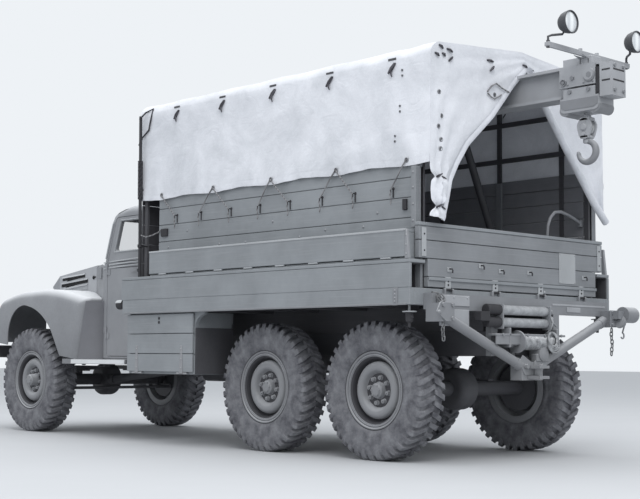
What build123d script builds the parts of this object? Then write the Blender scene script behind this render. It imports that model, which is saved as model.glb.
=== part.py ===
from build123d import *
from math import cos, pi, radians, sin
import os

os.makedirs("parts", exist_ok=True)

# Six-wheel-drive recovery truck: cab, planked body with a canvas tilt, lifting beam and rear tow gear.
# Millimetres. +X is forward, +Y is left, +Z is up, and the origin is on the ground under the truck's middle.
# A station is a distance forward of the rearmost axle, and at() turns it into X.

# Running clearances
fit = 0.3            # between curved or stacked faces that rest on each other
pin_play = 0.05      # radial, round a pin or a spindle
door_gap = 6.0       # round a door, a lid or a flap

# Axles
wheelbase = 4878.0   # rearmost axle to front axle
bogie_spread = 1239.0
front_overhang = 972.0
rear_overhang = 1540.0
length = rear_overhang + wheelbase + front_overhang
axle_height = 520.0
rear_track_half = 845.0
front_track_half = 822.0
kingpin_half = 700.0

# Tyres and wheels
tyre_radius = 520.0
tread_half = 112.0
tread_base = 498.0
wall_head = 488.0
wall_half = 128.0
lug_foot = 482.0
lug_count = 24       # round the tyre, running in turn to its left and to its right shoulder
lug_half = 27.0
lug_sweep = 0.35     # along the tread for each mm outwards
bead_radius = 254.0
rim_half = 106.0
flange_radius = 290.0
flange_thick = 7.0
rim_thick = 18.0
drum_radius = 190.0
drum_inner = 60.0
stud_ring_radius = 128.0
disc_crest_radius = 176.0
disc_crest = 84.0
disc_thick = 12.0
stud_face = 42.0
cap_radius = 62.0
rear_cap_face = 92.0
front_cap_face = 128.0
spindle_radius = 32.0
spindle_reach = 26.0
plate_gap = 6.0      # brake backing plate to drum
plate_thick = 8.0

# Frame
frame_half = 420.0
rail_height = 180.0
rail_bottom = 780.0
rail_top = rail_bottom + rail_height
rail_flange = 75.0
rail_web = 8.0
frame_rear = -640.0
frame_front = 5800.0

# Body
body_half = 1224.0
body_rear = -614.0
body_front = 2860.0
deck_bottom = 1137.0
deck_top = 1258.0
deck_plank = 32.0
side_rail = 48.0
board_outer = 1055.0
board_thick = 25.0
board_inner = board_outer - board_thick
board_rear = -520.0
board_front = 2560.0
board_top = 2305.0
side_box_top = 1460.0
box_wall = 25.0
locker_top = 1673.0
locker_outer = body_half - 7
locker_rear = -560.0
locker_front = 2480.0
side_box_front = 2880.0
tailboard_top = 1730.0
tailboard_thick = 42.0
tailboard_low_half = 1030.0
tailboard_wide_half = 1125.0
tailboard_step = 1472.0

# Under-floor lockers
chest_rear = 1867.0
chest_front = 2807.0
chest_outer = body_half - 20
chest_inner = 760.0
chest_bottom = 612.0
chest_wall = 20.0

# Tilt
canvas_thick = 12.0
canvas_half = board_outer + fit + canvas_thick
canvas_rear = -672.0
canvas_front = 2856.0
hem_height = 2148.0
beam_bottom = 2687.0
beam_top = beam_bottom + 238
ridge_height = beam_top + 201
shoulder_half = 1000.0
shoulder_height = ridge_height - 84
eave_height = shoulder_height - 67
hoop_stations = (-545.0, -294.0, 368.0, 1032.0, 1677.0, 2309.0, 2790.0)
lath = 40.0
lath_thick = 22.0

# Cab
cab_half = 800.0
cab_wall = 34.0
cab_rear = 3060.0
cab_skirt = 745.0
cab_floor = 985.0
scuttle_height = 1652.0
roof_height = scuttle_height + 546
firewall = 4236.0
screen_base = 3830.0
door_rear = 3150.0
door_front = 3720.0
door_bottom = 765.0
door_top = roof_height - 110
window_sill = scuttle_height + 116

# Lifting beam
beam_half = 80.0
beam_flange = 22.0
beam_web = 46.0
beam_rear = -1440.0
beam_front = 1850.0
hoist_station = -1262.0


def at(station):
    """X of a station."""
    return station + rear_overhang - length / 2


def block(x, y, z, mode=Mode.ADD):
    """A block between its two limits on each axis, X as stations."""
    with Locations((at((x[0] + x[1]) / 2), (y[0] + y[1]) / 2, (z[0] + z[1]) / 2)):
        Box(x[1] - x[0], y[1] - y[0], z[1] - z[0], mode=mode)


def rod(start, end, radius, mode=Mode.ADD):
    """A round bar between two points, each (station, y, z)."""
    foot = Vector(at(start[0]), start[1], start[2])
    run = Vector(at(end[0]), end[1], end[2]) - foot
    with BuildSketch(Plane(origin=foot, z_dir=run)) as section:
        Circle(radius)
    extrude(section.sketch, amount=run.length, mode=mode)


def side_plate(outline, y, mode=Mode.ADD):
    """A plate with an outline of (station, z) points, between two limits in Y."""
    with BuildSketch(Plane.XZ.offset(-y[1])) as section:
        with BuildLine():
            Polyline([(at(station), z) for station, z in outline], close=True)
        make_face()
    extrude(section.sketch, amount=y[1] - y[0], mode=mode)


def cross_plate(outline, x, mode=Mode.ADD):
    """A plate with an outline of (y, z) points, between two stations."""
    with BuildSketch(Plane.YZ.offset(at(x[0]))) as section:
        with BuildLine():
            Polyline(outline, close=True)
        make_face()
    extrude(section.sketch, amount=x[1] - x[0], mode=mode)


def save(piece, node):
    piece.part.label = node
    export_step(piece.part, f"parts/{node}.step")


# Chassis frame: two channel rails joined by cross members
member_half = 35.0
member_low = rail_bottom + rail_web
member_high = rail_top - rail_web
member_shallow = rail_bottom + 60
# Cross members: station, top
cross_members = (
    (-600.0, member_high),
    (620.0, member_high),
    (1900.0, member_high),
    (3000.0, member_shallow),
    (4150.0, member_shallow),
    (5500.0, member_high),
)
with BuildPart() as chassis_frame:
    for side in (1, -1):
        web = sorted((side * frame_half, side * (frame_half - rail_web)))
        flange = sorted((side * frame_half, side * (frame_half - rail_flange)))
        block((frame_rear, frame_front), web, (rail_bottom, rail_top))
        block((frame_rear, frame_front), flange, (rail_bottom, rail_bottom + rail_web))
        block((frame_rear, frame_front), flange, (rail_top - rail_web, rail_top))
    for station, member_top in cross_members:
        member_y = (rail_web - frame_half, frame_half - rail_web)
        block((station - member_half, station + member_half), member_y, (member_low, member_top))
save(chassis_frame, "chassis_frame")

# Front bumper: a channel across the rail ends, with a tow eye plate inside each end of the frame
bumper_half = 1010.0
bumper_z = (742.0, 872.0)
eye_radius = 20.0
eye_height = 700.0
eye_thick = 24.0
eye_rim = 42.0
bumper_rear = frame_front
bumper_front = wheelbase + front_overhang
with BuildPart() as front_bumper:
    block((bumper_rear, bumper_front), (-bumper_half, bumper_half), bumper_z)
    fillet(front_bumper.edges().filter_by(Axis.Z).group_by(Axis.X)[-1], 40)
    bumper_inner_z = (bumper_z[0] + 10, bumper_z[1] - 10)
    block((bumper_rear, bumper_front - 10), (-bumper_half + 10, bumper_half - 10), bumper_inner_z, Mode.SUBTRACT)
    eye_station = bumper_rear + 5
    for side in (1, -1):
        plate_y = sorted((side * (frame_half - 90), side * (frame_half - 90 - eye_thick)))
        block((bumper_rear - 40, bumper_front - 8), plate_y, (eye_height, bumper_z[1] - 5))
        rod((eye_station, plate_y[0], eye_height), (eye_station, plate_y[1], eye_height), eye_rim)
        eye_foot = (eye_station, plate_y[0], eye_height)
        rod(eye_foot, (eye_station, plate_y[1], eye_height), eye_radius, Mode.SUBTRACT)
save(front_bumper, "front_bumper")

# Front axle: tube and differential housing, with a forked end for each knuckle
axle_tube = 58.0
housing_radius = 165.0
housing_half = 105.0
fork_gap = 72.0      # half the room between the fork's eyes
eye_plate = 22.0
kingpin_eye = 34.0
kingpin_radius = 16.0
fork_root = kingpin_half - 62
with BuildPart() as front_axle:
    rod((wheelbase, -fork_root, axle_height), (wheelbase, fork_root, axle_height), axle_tube)
    rod((wheelbase, -housing_half, axle_height), (wheelbase, housing_half, axle_height), housing_radius)
    fillet(front_axle.edges().filter_by(GeomType.CIRCLE).sort_by(SortBy.RADIUS)[-2:], 60)
    fork_height = fork_gap + eye_plate
    for side in (1, -1):
        root_y = sorted((side * (fork_root - 12), side * (fork_root + 14)))
        arm_y = sorted((side * fork_root, side * kingpin_half))
        eye_x = (wheelbase - kingpin_eye, wheelbase + kingpin_eye)
        block(eye_x, root_y, (axle_height - fork_height, axle_height + fork_height))
        for z in ((axle_height + fork_gap, axle_height + fork_height),
                  (axle_height - fork_height, axle_height - fork_gap)):
            block(eye_x, arm_y, z)
            pin_foot = (wheelbase, side * kingpin_half, z[0])
            pin_head = (wheelbase, side * kingpin_half, z[1])
            rod(pin_foot, pin_head, kingpin_eye)
            rod(pin_foot, pin_head, kingpin_radius + pin_play, Mode.SUBTRACT)
save(front_axle, "front_axle")

# Rear axles: tube, differential housing, backing plates and spindles
with BuildPart() as rear_axles:
    plate_outer = rear_track_half - drum_inner - plate_gap
    for station in (0.0, bogie_spread):
        rod((station, -plate_outer, axle_height), (station, plate_outer, axle_height), axle_tube)
        rod((station, -housing_half, axle_height), (station, housing_half, axle_height), housing_radius)
        for side in (1, -1):
            plate_inner = side * (plate_outer - plate_thick)
            rod((station, plate_inner, axle_height), (station, side * plate_outer, axle_height), drum_radius)
            spindle_end = side * (rear_track_half + spindle_reach)
            rod((station, plate_inner, axle_height), (station, spindle_end, axle_height), spindle_radius)
    housing_edges = rear_axles.edges().filter_by(GeomType.CIRCLE).filter_by(
        lambda edge: abs(edge.radius - housing_radius) < 1 and abs(edge.center().Y) > 1)
    fillet(housing_edges, 60)
save(rear_axles, "rear_axles")

# Leaf springs: a pair over the front axle, and a pair pivoted between the rear axles
spring_half = 32.0
spring_y = 376.0
front_leaf_lengths = (560.0, 440.0, 320.0, 200.0)   # half lengths, from the top leaf down
rear_leaf_lengths = (230.0, 370.0, 510.0, 660.0)    # half lengths, from the top leaf down
leaf_thick = 14.0
saddle_half = 60.0
hanger_half = 22.0
axle_top = axle_height + axle_tube
with BuildPart() as leaf_springs:
    for side in (1, -1):
        spring = sorted((side * (spring_y - spring_half), side * (spring_y + spring_half)))
        pack_top = axle_top + 30 + leaf_thick * len(front_leaf_lengths)
        for leaf, half in enumerate(front_leaf_lengths):
            top = pack_top - leaf * leaf_thick
            block((wheelbase - half, wheelbase + half), spring, (top - leaf_thick, top))
        saddle_z = (axle_top + fit, pack_top - leaf_thick)
        block((wheelbase - saddle_half, wheelbase + saddle_half), spring, saddle_z)
        for end in (-1, 1):
            hanger = wheelbase + end * (front_leaf_lengths[0] - hanger_half)
            hanger_z = (pack_top - leaf_thick, rail_bottom - fit)
            block((hanger - hanger_half, hanger + hanger_half), spring, hanger_z)
        pivot = bogie_spread / 2
        pack_foot = axle_top + fit
        for leaf, half in enumerate(reversed(rear_leaf_lengths)):
            foot = pack_foot + leaf * leaf_thick
            block((pivot - half, pivot + half), spring, (foot, foot + leaf_thick))
        seat_z = (pack_foot + leaf_thick, rail_bottom - fit)
        block((pivot - saddle_half, pivot + saddle_half), spring, seat_z)
save(leaf_springs, "leaf_springs")

# Engine: one plain block at its real place, on the frame
engine_x = (4290.0, 5080.0)
engine_half = 250.0
engine_z = (790.0, 1395.0)
with BuildPart() as engine_block:
    block(engine_x, (-engine_half, engine_half), (rail_top + fit, engine_z[1]))
    foot_x = (engine_x[0] + 60, engine_x[1] - 60)
    block(foot_x, (-engine_half + 60, engine_half - 60), (engine_z[0], rail_top + 10))
    for station in (engine_x[0] + 40, engine_x[1] - 40):
        foot_x = (station - 30, station + 30)
        block(foot_x, (-frame_half + 10, frame_half - 10), (rail_top + fit, rail_top + 40))
save(engine_block, "engine_block")

# Driveline: gearbox, transfer case and propeller shafts, one fixed piece, and the rear axles' own shaft
case_x = (2560.0, 2880.0)
case_half = 170.0
case_z = (640.0, 940.0)
gearbox_rear = 3560.0
gearbox_half = 140.0
gearbox_z = (member_shallow + 10, member_high)
shaft_radius = 38.0
shaft_y = 110.0
with BuildPart() as driveline:
    block(case_x, (-case_half, case_half), case_z)
    arm_half = frame_half - rail_web - fit
    block((case_x[0] + 60, case_x[1] - 60), (-arm_half, arm_half), (member_low + 60, member_high - 60))
    block((gearbox_rear, engine_x[0] - fit), (-gearbox_half, gearbox_half), gearbox_z)
    rod((case_x[1] - 10, 0, 896), (gearbox_rear + 10, 0, 900), shaft_radius)
    front_end = wheelbase - housing_radius - fit
    front_y = shaft_y / 2
    rod((case_x[1] - 10, shaft_y, 690), (front_end - 20, front_y, axle_height), shaft_radius)
    rod((front_end - 80, front_y, axle_height), (front_end, front_y, axle_height), shaft_radius + 14)
    rear_end = bogie_spread + housing_radius + fit
    shaft_z = axle_height + 20
    rod((rear_end, 0, shaft_z), (case_x[0] + 10, 0, 720), shaft_radius)
    rod((housing_radius + fit, 0, shaft_z), (bogie_spread - housing_radius - fit, 0, shaft_z), shaft_radius)
save(driveline, "driveline")

# Exhaust: silencer and tail pipe along the right of the frame
exhaust_y = -520.0
exhaust_z = 598.0
silencer_radius = 85.0
with BuildPart() as exhaust:
    rod((3100.0, exhaust_y, exhaust_z), (3800.0, exhaust_y, exhaust_z), silencer_radius)
    rod((3000.0, exhaust_y, exhaust_z), (4200.0, exhaust_y, exhaust_z), 26)
    for station in (3200.0, 3700.0):
        block((station - 15, station + 15), (exhaust_y - 15, exhaust_y + 15), (exhaust_z, rail_bottom + 60))
        block((station - 15, station + 15), (exhaust_y - 15, -frame_half), (rail_bottom + 30, rail_bottom + 60))
save(exhaust, "exhaust")

# Fuel tank: on the right of the frame, hung on two straps
tank_x = (1960.0, 2740.0)
tank_y = (-735.0, -455.0)
tank_z = (640.0, 930.0)
with BuildPart() as fuel_tank:
    block(tank_x, tank_y, tank_z)
    fillet(fuel_tank.edges().filter_by(Axis.X), 50)
    for station in (2120.0, 2580.0):
        block((station - 20, station + 20), (tank_y[1] - 80, -frame_half), (860, 900))
save(fuel_tank, "fuel_tank")

# Tyre: a casing of flat facets, one under each lug
def facet_prism(radius, start, amount):
    """A faceted prism about Z, from the distance to a facet and a start height."""
    with BuildPart() as prism:
        with BuildSketch(Plane.XY.offset(start)):
            RegularPolygon(radius, lug_count, major_radius=False, rotation=180 / lug_count)
        extrude(amount=amount)
    return prism.part


def facet_dish(foot, head, end):
    """A faceted dish about Z between two rings, each the distance to a facet and a height, its sides flat."""
    half_step = pi / lug_count
    rings = []
    for radius, height in (foot, head):
        reach = radius / cos(half_step)
        angles = [half_step * (2 * turn + 1) for turn in range(lug_count)]
        rings.append([(reach * cos(angle), reach * sin(angle), end * height) for angle in angles])
    low, high = rings
    corners = [(low[turn - 1], low[turn], high[turn], high[turn - 1]) for turn in range(lug_count)]
    return Solid(Shell([Face(Wire.make_polygon(outline)) for outline in (*corners, low, high)]))


# Height of a bar's flat face, so that neither it nor its swept corner goes below the ground
lug_step = radians(360 / lug_count)
swept_corner = lug_half + lug_sweep * tread_half
lug_head = min(tyre_radius, (tyre_radius - swept_corner * sin(lug_step)) / cos(lug_step))


def make_lug(end, sweep):
    """One bar along X, from the middle of the tread to a shoulder, with its outer corner cut off."""
    with BuildPart() as lug:
        with BuildSketch(Plane.YZ.offset(lug_foot)):
            with BuildLine():
                Polyline(
                    (-lug_half, 0),
                    (lug_half, 0),
                    (lug_half + sweep * wall_half, end * wall_half),
                    (sweep * wall_half - lug_half, end * wall_half),
                    close=True,
                )
            make_face()
        extrude(amount=lug_head - lug_foot)
        corner = lug.faces().sort_by(Axis.X)[-1].edges().sort_by(Axis.Z)[-1 if end > 0 else 0]
        chamfer(corner, wall_half - tread_half)
    return lug.part


def make_tyre(sweep):
    """Tyre with its axis along Y."""
    wall_foot = flange_radius + 4
    bead_face = rim_half - flange_thick
    wall_slope = (wall_head - wall_foot) / (wall_half - bead_face)
    beyond = 5
    dish_head = (wall_head + beyond * wall_slope, wall_half + beyond)
    with BuildPart() as form:
        add(facet_prism(tread_base, -wall_half, 2 * wall_half))
        for turn in range(lug_count):
            lug = make_lug(1 if turn % 2 else -1, sweep)
            add(lug.rotate(Axis.Z, turn * 360 / lug_count))
        for end in (1, -1):
            add(facet_dish((wall_foot, bead_face), dish_head, end), mode=Mode.SUBTRACT)
        add(facet_prism(bead_radius + fit, -wall_half, 2 * wall_half), mode=Mode.SUBTRACT)
    return form.part.rotate(Axis.X, -90)


def make_wheel(cap_face):
    """Disc wheel with its brake drum and hub, axis along Y, outer side towards +Y."""
    inner = bead_radius - rim_thick
    with BuildPart() as wheel:
        with BuildSketch(Plane.XY):
            with BuildLine():
                Polyline(
                    (inner, -rim_half),
                    (flange_radius, -rim_half),
                    (flange_radius, -rim_half + flange_thick),
                    (bead_radius, -rim_half + flange_thick),
                    (bead_radius, rim_half - flange_thick),
                    (flange_radius, rim_half - flange_thick),
                    (flange_radius, rim_half),
                    (inner, rim_half),
                    close=True,
                )
            make_face()
            with BuildLine():
                Polyline(
                    (inner + 2, stud_face + 12),
                    (inner + 2, stud_face + 12 + disc_thick),
                    (disc_crest_radius, disc_crest),
                    (stud_ring_radius + 6, disc_crest - 14),
                    (stud_ring_radius, stud_face),
                    (cap_radius, stud_face),
                    (cap_radius, cap_face - 14),
                    (cap_radius - 16, cap_face),
                    (0, cap_face),
                    (0, spindle_reach + 6),
                    (spindle_radius + pin_play, spindle_reach + 6),
                    (spindle_radius + pin_play, -drum_inner),
                    (drum_radius, -drum_inner),
                    (drum_radius, stud_face - disc_thick),
                    (drum_radius + 6, stud_face + 12),
                    close=True,
                )
            make_face()
        revolve(axis=Axis.Y)
    return wheel


rear_wheel = make_wheel(rear_cap_face)
front_wheel = make_wheel(front_cap_face)

# Wheels and tyres: name, station, half track, side, wheel form
wheel_table = (
    ("front_left", wheelbase, front_track_half, 1, front_wheel),
    ("front_right", wheelbase, front_track_half, -1, front_wheel),
    ("middle_left", bogie_spread, rear_track_half, 1, rear_wheel),
    ("middle_right", bogie_spread, rear_track_half, -1, rear_wheel),
    ("rear_left", 0.0, rear_track_half, 1, rear_wheel),
    ("rear_right", 0.0, rear_track_half, -1, rear_wheel),
)
tyres = {1: make_tyre(lug_sweep), -1: make_tyre(-lug_sweep)}
for name, station, half_track, side, form in wheel_table:
    turn = 0 if side > 0 else 180
    place = Location((at(station), side * half_track, axle_height), (0, 0, turn))
    for kind, source in (("wheel", form.part), ("tyre", tyres[side])):
        placed = source.moved(place)
        placed.label = f"{kind}_{name}"
        export_step(placed, f"parts/{kind}_{name}.step")

# Steering knuckles: kingpin, spindle, backing plate and steering arm, and the tie rod between the arms
arm_reach = 190.0
arm_y = kingpin_half
steer_arm_z = axle_height - 60
arm_eye = 22.0
tie_pin = 10.0
stub_half = fork_gap - fit
front_plate = front_track_half - drum_inner - plate_gap
with BuildPart() as knuckle_core:
    rod((wheelbase, kingpin_half, axle_height - stub_half), (wheelbase, kingpin_half, axle_height + stub_half),
        kingpin_eye - 2)
    rod((wheelbase, kingpin_half, axle_height - fork_height - 6),
        (wheelbase, kingpin_half, axle_height + fork_height + 6), kingpin_radius)
    rod((wheelbase, kingpin_half, axle_height), (wheelbase, front_track_half + spindle_reach, axle_height),
        spindle_radius)
    rod((wheelbase, front_plate - plate_thick, axle_height), (wheelbase, front_plate, axle_height), drum_radius)
for name, side in (("left", 1), ("right", -1)):
    with BuildPart() as knuckle:
        with Locations(Location((at(wheelbase), 0, 0), (0, 0, 0 if side > 0 else 180))):
            add(knuckle_core.part.moved(Location((-at(wheelbase), 0, 0))))
        arm_level = (steer_arm_z - 8, steer_arm_z + 8)
        arm_root_y = sorted((side * (kingpin_half - 26), side * (front_plate - plate_thick + 2)))
        block((wheelbase - 110, wheelbase - 44), arm_root_y, arm_level)
        eye_y = sorted((side * (arm_y - arm_eye), side * (arm_y + arm_eye)))
        block((wheelbase - arm_reach, wheelbase - 80), eye_y, arm_level)
        eye_foot = (wheelbase - arm_reach, side * arm_y, arm_level[0])
        eye_head = (wheelbase - arm_reach, side * arm_y, arm_level[1])
        rod(eye_foot, eye_head, arm_eye)
        rod(eye_foot, eye_head, tie_pin + pin_play, Mode.SUBTRACT)
    save(knuckle, f"knuckle_{name}")

with BuildPart() as tie_rod:
    rod_z = steer_arm_z - 8 - fit - 16
    rod_station = wheelbase - arm_reach
    rod((rod_station, -arm_y, rod_z), (rod_station, arm_y, rod_z), 15)
    for side in (1, -1):
        rod((rod_station, side * arm_y, rod_z - 16), (rod_station, side * arm_y, rod_z + 16), arm_eye)
        pin_size = tie_pin if side > 0 else tie_pin - 1
        rod((rod_station, side * arm_y, rod_z), (rod_station, side * arm_y, steer_arm_z + 14), pin_size)
save(tie_rod, "tie_rod")

# Bonnet line in plan: the half width shrinks forward from the firewall to the radiator shell
bonnet_rear = firewall + door_gap
grille_rear = 5290.0
grille_front = 5450.0
cowl_half = 575.0
grille_half = 345.0

# Front wings and running boards: an open shell each side, domed over the wheel
wing_outer = 968.0
wing_inner = 300.0
wing_wall = 10.0
wing_round = 96.0
wing_rear_foot = 3985.0
wing_rear_head = 3860.0
board_z = (687.0, 731.0)
running_rear = 3060.0
running_outer = 1040.0
# Side view of the wing from its rear foot over the crown to its nose: station, height, corner radius
wing_corners = (
    (wing_rear_foot, board_z[1], 0),
    (wing_rear_head, 1322.0, 40),
    (4480.0, 1436.0, 2200),
    (5110.0, 1420.0, 1700),
    (5545.0, 1330.0, 190),
    (5558.0, 905.0, 0),
)
# Wheel opening in the wing's side: station, height
arch_foot_front = (5282.0, 850.0)
arch_foot_rear = (4236.0, 690.0)
arch_front = (5282.0, 960.0)
arch_brow = (5205.0, 1172.0)
arch_crown = (4893.0, 1266.0)
arch_back = (4650.0, 1180.0)
arch_rear = (4440.0, 1000.0)


def wing_form(inset, drop):
    """Left wing as a solid, drawn in by an inset and lengthened downwards by a drop."""
    with BuildPart() as form:
        with BuildSketch(Plane.XZ.offset(inset - wing_outer)):
            with BuildLine():
                corners = []
                for index, (station, z, radius) in enumerate(wing_corners):
                    shift = inset if index < 2 else (-inset if index > 3 else 0)
                    fall = drop if index in (0, 5) else inset
                    corners.append((at(station + shift), z - fall))
                radii = [corner[2] for corner in wing_corners[1:-1]]
                top = FilletPolyline(*corners, radius=radii)
                Line(top @ 1, top @ 0)
            make_face()
        extrude(amount=wing_outer - inset - wing_inner)
        outer_face = form.faces().sort_by(Axis.Y)[-1]
        rim = [edge for edge in outer_face.edges() if edge.center().Z > 1000 and edge.center().X > at(4000)]
        fillet(rim, wing_round - inset)
    return form


wing_skin = wing_form(0, 0)
wing_hollow = wing_form(wing_wall, 60)
with BuildPart() as left_wing:
    add(wing_skin.part)
    add(wing_hollow.part, mode=Mode.SUBTRACT)
    with BuildSketch(Plane.XY.offset(600)):
        with BuildLine():
            Polyline(
                (at(3700), 0),
                (at(3700), cab_half + fit),
                (at(door_front + 70), cab_half + fit),
                (at(bonnet_rear), cowl_half + 1),
                (at(grille_rear), grille_half + 1),
                (at(5700), grille_half + 1),
                (at(5700), 0),
                close=True,
            )
        make_face()
    extrude(amount=1000, mode=Mode.SUBTRACT)
    block((grille_rear, 5700), (300, frame_half + 5), (600, rail_top + 5), Mode.SUBTRACT)
    with BuildSketch(Plane.XZ.offset(-wing_outer - 20)):
        with BuildLine():
            points = [(at(station), z) for station, z in
                      (arch_foot_front, arch_front, arch_brow, arch_crown, arch_back, arch_rear, arch_foot_rear)]
            Line(points[0], points[1])
            ThreePointArc(points[1], points[2], points[3])
            ThreePointArc(points[3], points[4], points[5])
            Line(points[5], points[6])
            Line(points[6], (points[6][0], 600))
            Line((points[6][0], 600), (points[0][0], 600))
            Line((points[0][0], 600), points[0])
        make_face()
    extrude(amount=80, mode=Mode.SUBTRACT)
    block((wing_rear_foot - 5, arch_foot_rear[0]), (cowl_half + 20, wing_outer - 4), (board_z[0], board_z[1] + 4))
    block((running_rear, wing_rear_foot), (640, running_outer), board_z)
    for station in (3150.0, 3900.0):
        block((station - 20, station + 20), (frame_half - 60, 650), (board_z[0], board_z[0] + 20))
        block((station - 20, station + 20), (frame_half - 60, frame_half), (board_z[0], rail_bottom - fit))
with BuildPart() as front_wings:
    add(left_wing.part)
    mirror(left_wing.part, about=Plane.XZ)
save(front_wings, "front_wings")

# Radiator shell: a slotted front between the wings, with the radiator core behind it
grille_z = (830.0, 1600.0)
grille_nose = 1490.0
grille_wall = 24.0
slot_count = 13
slot_width = 20.0
slot_pitch = 44.0
slot_z = (880.0, 1420.0)
with BuildPart() as radiator_shell:
    with BuildSketch(Plane.YZ.offset(at(grille_rear + fit))):
        with Locations((0, sum(grille_z) / 2)):
            Rectangle(2 * grille_half, grille_z[1] - grille_z[0])
    extrude(amount=grille_front - grille_rear - fit)
    front_edges = radiator_shell.edges().filter_by(Axis.Z).group_by(Axis.X)[-1]
    fillet(front_edges, 55)
    slope = ((grille_rear - 5, grille_z[1]), (grille_front + 5, grille_nose), (grille_front + 5, 1700.0),
             (grille_rear - 5, 1700.0))
    side_plate(slope, (-grille_half - 5, grille_half + 5), Mode.SUBTRACT)
    inner_half = grille_half - grille_wall
    core_room = (grille_rear - 5, grille_front - grille_wall)
    block(core_room, (-inner_half, inner_half), (grille_z[0] + grille_wall, grille_z[1] + 50), Mode.SUBTRACT)
    with BuildSketch(Plane.YZ.offset(at(grille_front + 5))):
        with Locations((0, sum(slot_z) / 2)):
            with GridLocations(slot_pitch, 1, slot_count, 1):
                SlotOverall(slot_z[1] - slot_z[0], slot_width, rotation=90)
    extrude(amount=-grille_wall - 12, mode=Mode.SUBTRACT)
    block((grille_rear + 30, grille_rear + 80), (-inner_half - 2, inner_half + 2), (grille_z[0] + 10, 1480))
    for side in (1, -1):
        foot_y = sorted((side * (frame_half - 130), side * (frame_half - 80)))
        block((grille_rear + 20, grille_rear + 90), foot_y, (rail_top - rail_web - 120, grille_z[0] + 10))
save(radiator_shell, "radiator_shell")

# Bonnet side panels, fixed, each with three long louvre slots below the bonnet seam
seam_rear = 1655.0
seam_front = grille_z[1]
panel_foot = 1300.0
panel_thick = 12.0
# Louvre slots: rear station, front station, rear height, front height
louvre_table = (
    (4640.0, 5080.0, 1594.0, 1574.0),
    (4570.0, 5110.0, 1537.0, 1509.0),
    (4500.0, 5130.0, 1482.0, 1450.0),
)
louvre_height = 26.0
with BuildPart() as bonnet_sides:
    for side in (1, -1):
        with BuildSketch(Plane.XY.offset(panel_foot)):
            with BuildLine():
                Polyline(
                    (at(bonnet_rear), side * cowl_half),
                    (at(grille_rear), side * grille_half),
                    (at(grille_rear), side * (grille_half - panel_thick)),
                    (at(bonnet_rear), side * (cowl_half - panel_thick)),
                    close=True,
                )
            make_face()
    extrude(amount=seam_rear - panel_foot)
    over_seam = ((bonnet_rear - 5, seam_rear), (grille_rear + 5, seam_front), (grille_rear + 5, 1700.0),
                 (bonnet_rear - 5, 1700.0))
    side_plate(over_seam, (-cowl_half - 5, cowl_half + 5), Mode.SUBTRACT)
    for rear, front, rear_z, front_z in louvre_table:
        slot_low = ((front, front_z - louvre_height), (rear, rear_z - louvre_height))
        slot = ((rear, rear_z), (front, front_z), *slot_low)
        side_plate(slot, (-cowl_half - 5, cowl_half + 5), Mode.SUBTRACT)
save(bonnet_sides, "bonnet_sides")

# Bonnet lid, hinged at its rear edge: rear, radiator and nose sections
# Station, half width, seam height, crown height
bonnet_sections = (
    (bonnet_rear, cowl_half, seam_rear, 1722.0),
    (grille_rear, grille_half, seam_front, 1660.0),
    (grille_front + 10, grille_half - 22, grille_nose + 2, 1545.0),
)
bonnet_skirt = 16.0
bonnet_thick = 9.0
bonnet_crown = bonnet_sections[0][3]
# Barrels on the bonnet's hinge line: nearest and farthest distance from the middle, for the lid and for the cowl
lid_hinge_y = (150.0, 206.0)
cowl_hinge_y = (lid_hinge_y[1] + fit, lid_hinge_y[1] + 56)
lid_hinge_station = (firewall + bonnet_rear) / 2
lid_hinge_radius = 9.0
lid_hinge_z = bonnet_crown + lid_hinge_radius + 3
lid_hinge_leaf = 48.0


def bonnet_bay(rear, front, inset, drop):
    """The bonnet between two sections, drawn in by an inset and lowered at its seam by a drop."""
    with BuildPart() as bay:
        for station, half, seam, crown in (rear, front):
            with BuildSketch(Plane.YZ.offset(at(station))):
                with BuildLine():
                    foot_left = (half - inset, seam + fit - drop)
                    head_left = (half - inset, seam + bonnet_skirt - inset)
                    foot_right = (inset - half, seam + fit - drop)
                    head_right = (inset - half, seam + bonnet_skirt - inset)
                    Line(foot_left, head_left)
                    ThreePointArc(head_left, (0, crown - inset), head_right)
                    Line(head_right, foot_right)
                    Line(foot_right, foot_left)
                make_face()
        loft(ruled=True)
    return bay


def lid_hinges(y, direction):
    """Barrels of the bonnet's hinge with their leaves, on the lid's side of the line or on the cowl's."""
    for side in (1, -1):
        span = sorted((side * y[0], side * y[1]))
        foot = (lid_hinge_station, span[0], lid_hinge_z)
        rod(foot, (lid_hinge_station, span[1], lid_hinge_z), lid_hinge_radius)
        leaf_end = lid_hinge_station + direction * lid_hinge_leaf
        seat_start = lid_hinge_station + direction * (door_gap / 2 + 1)
        block(sorted((lid_hinge_station, leaf_end)), span, (lid_hinge_z - lid_hinge_radius, lid_hinge_z))
        block(sorted((seat_start, leaf_end)), span, (bonnet_crown - 16, lid_hinge_z))


with BuildPart() as bonnet:
    for rear, front in zip(bonnet_sections[:-1], bonnet_sections[1:]):
        add(bonnet_bay(rear, front, 0, 0).part)
    for rear, front in zip(bonnet_sections[:-1], bonnet_sections[1:]):
        add(bonnet_bay(rear, front, bonnet_thick, 8).part, mode=Mode.SUBTRACT)
    lid_hinges(lid_hinge_y, 1)
save(bonnet, "bonnet")

# Cab: a hollow shell, with the doors cut from the same walls
# Side view from the rear foot over the roof to the firewall: station, height, corner radius
cab_corners = (
    (cab_rear, cab_skirt, 0),
    (cab_rear, roof_height - 8, 110),
    (3420.0, roof_height + 4, 900),
    (3668.0, roof_height - 58, 90),
    (screen_base, scuttle_height + 8, 20),
    (firewall, scuttle_height, 12),
    (firewall, cab_skirt, 0),
)
cab_round = 90.0
door_side = door_front + 70


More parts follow.
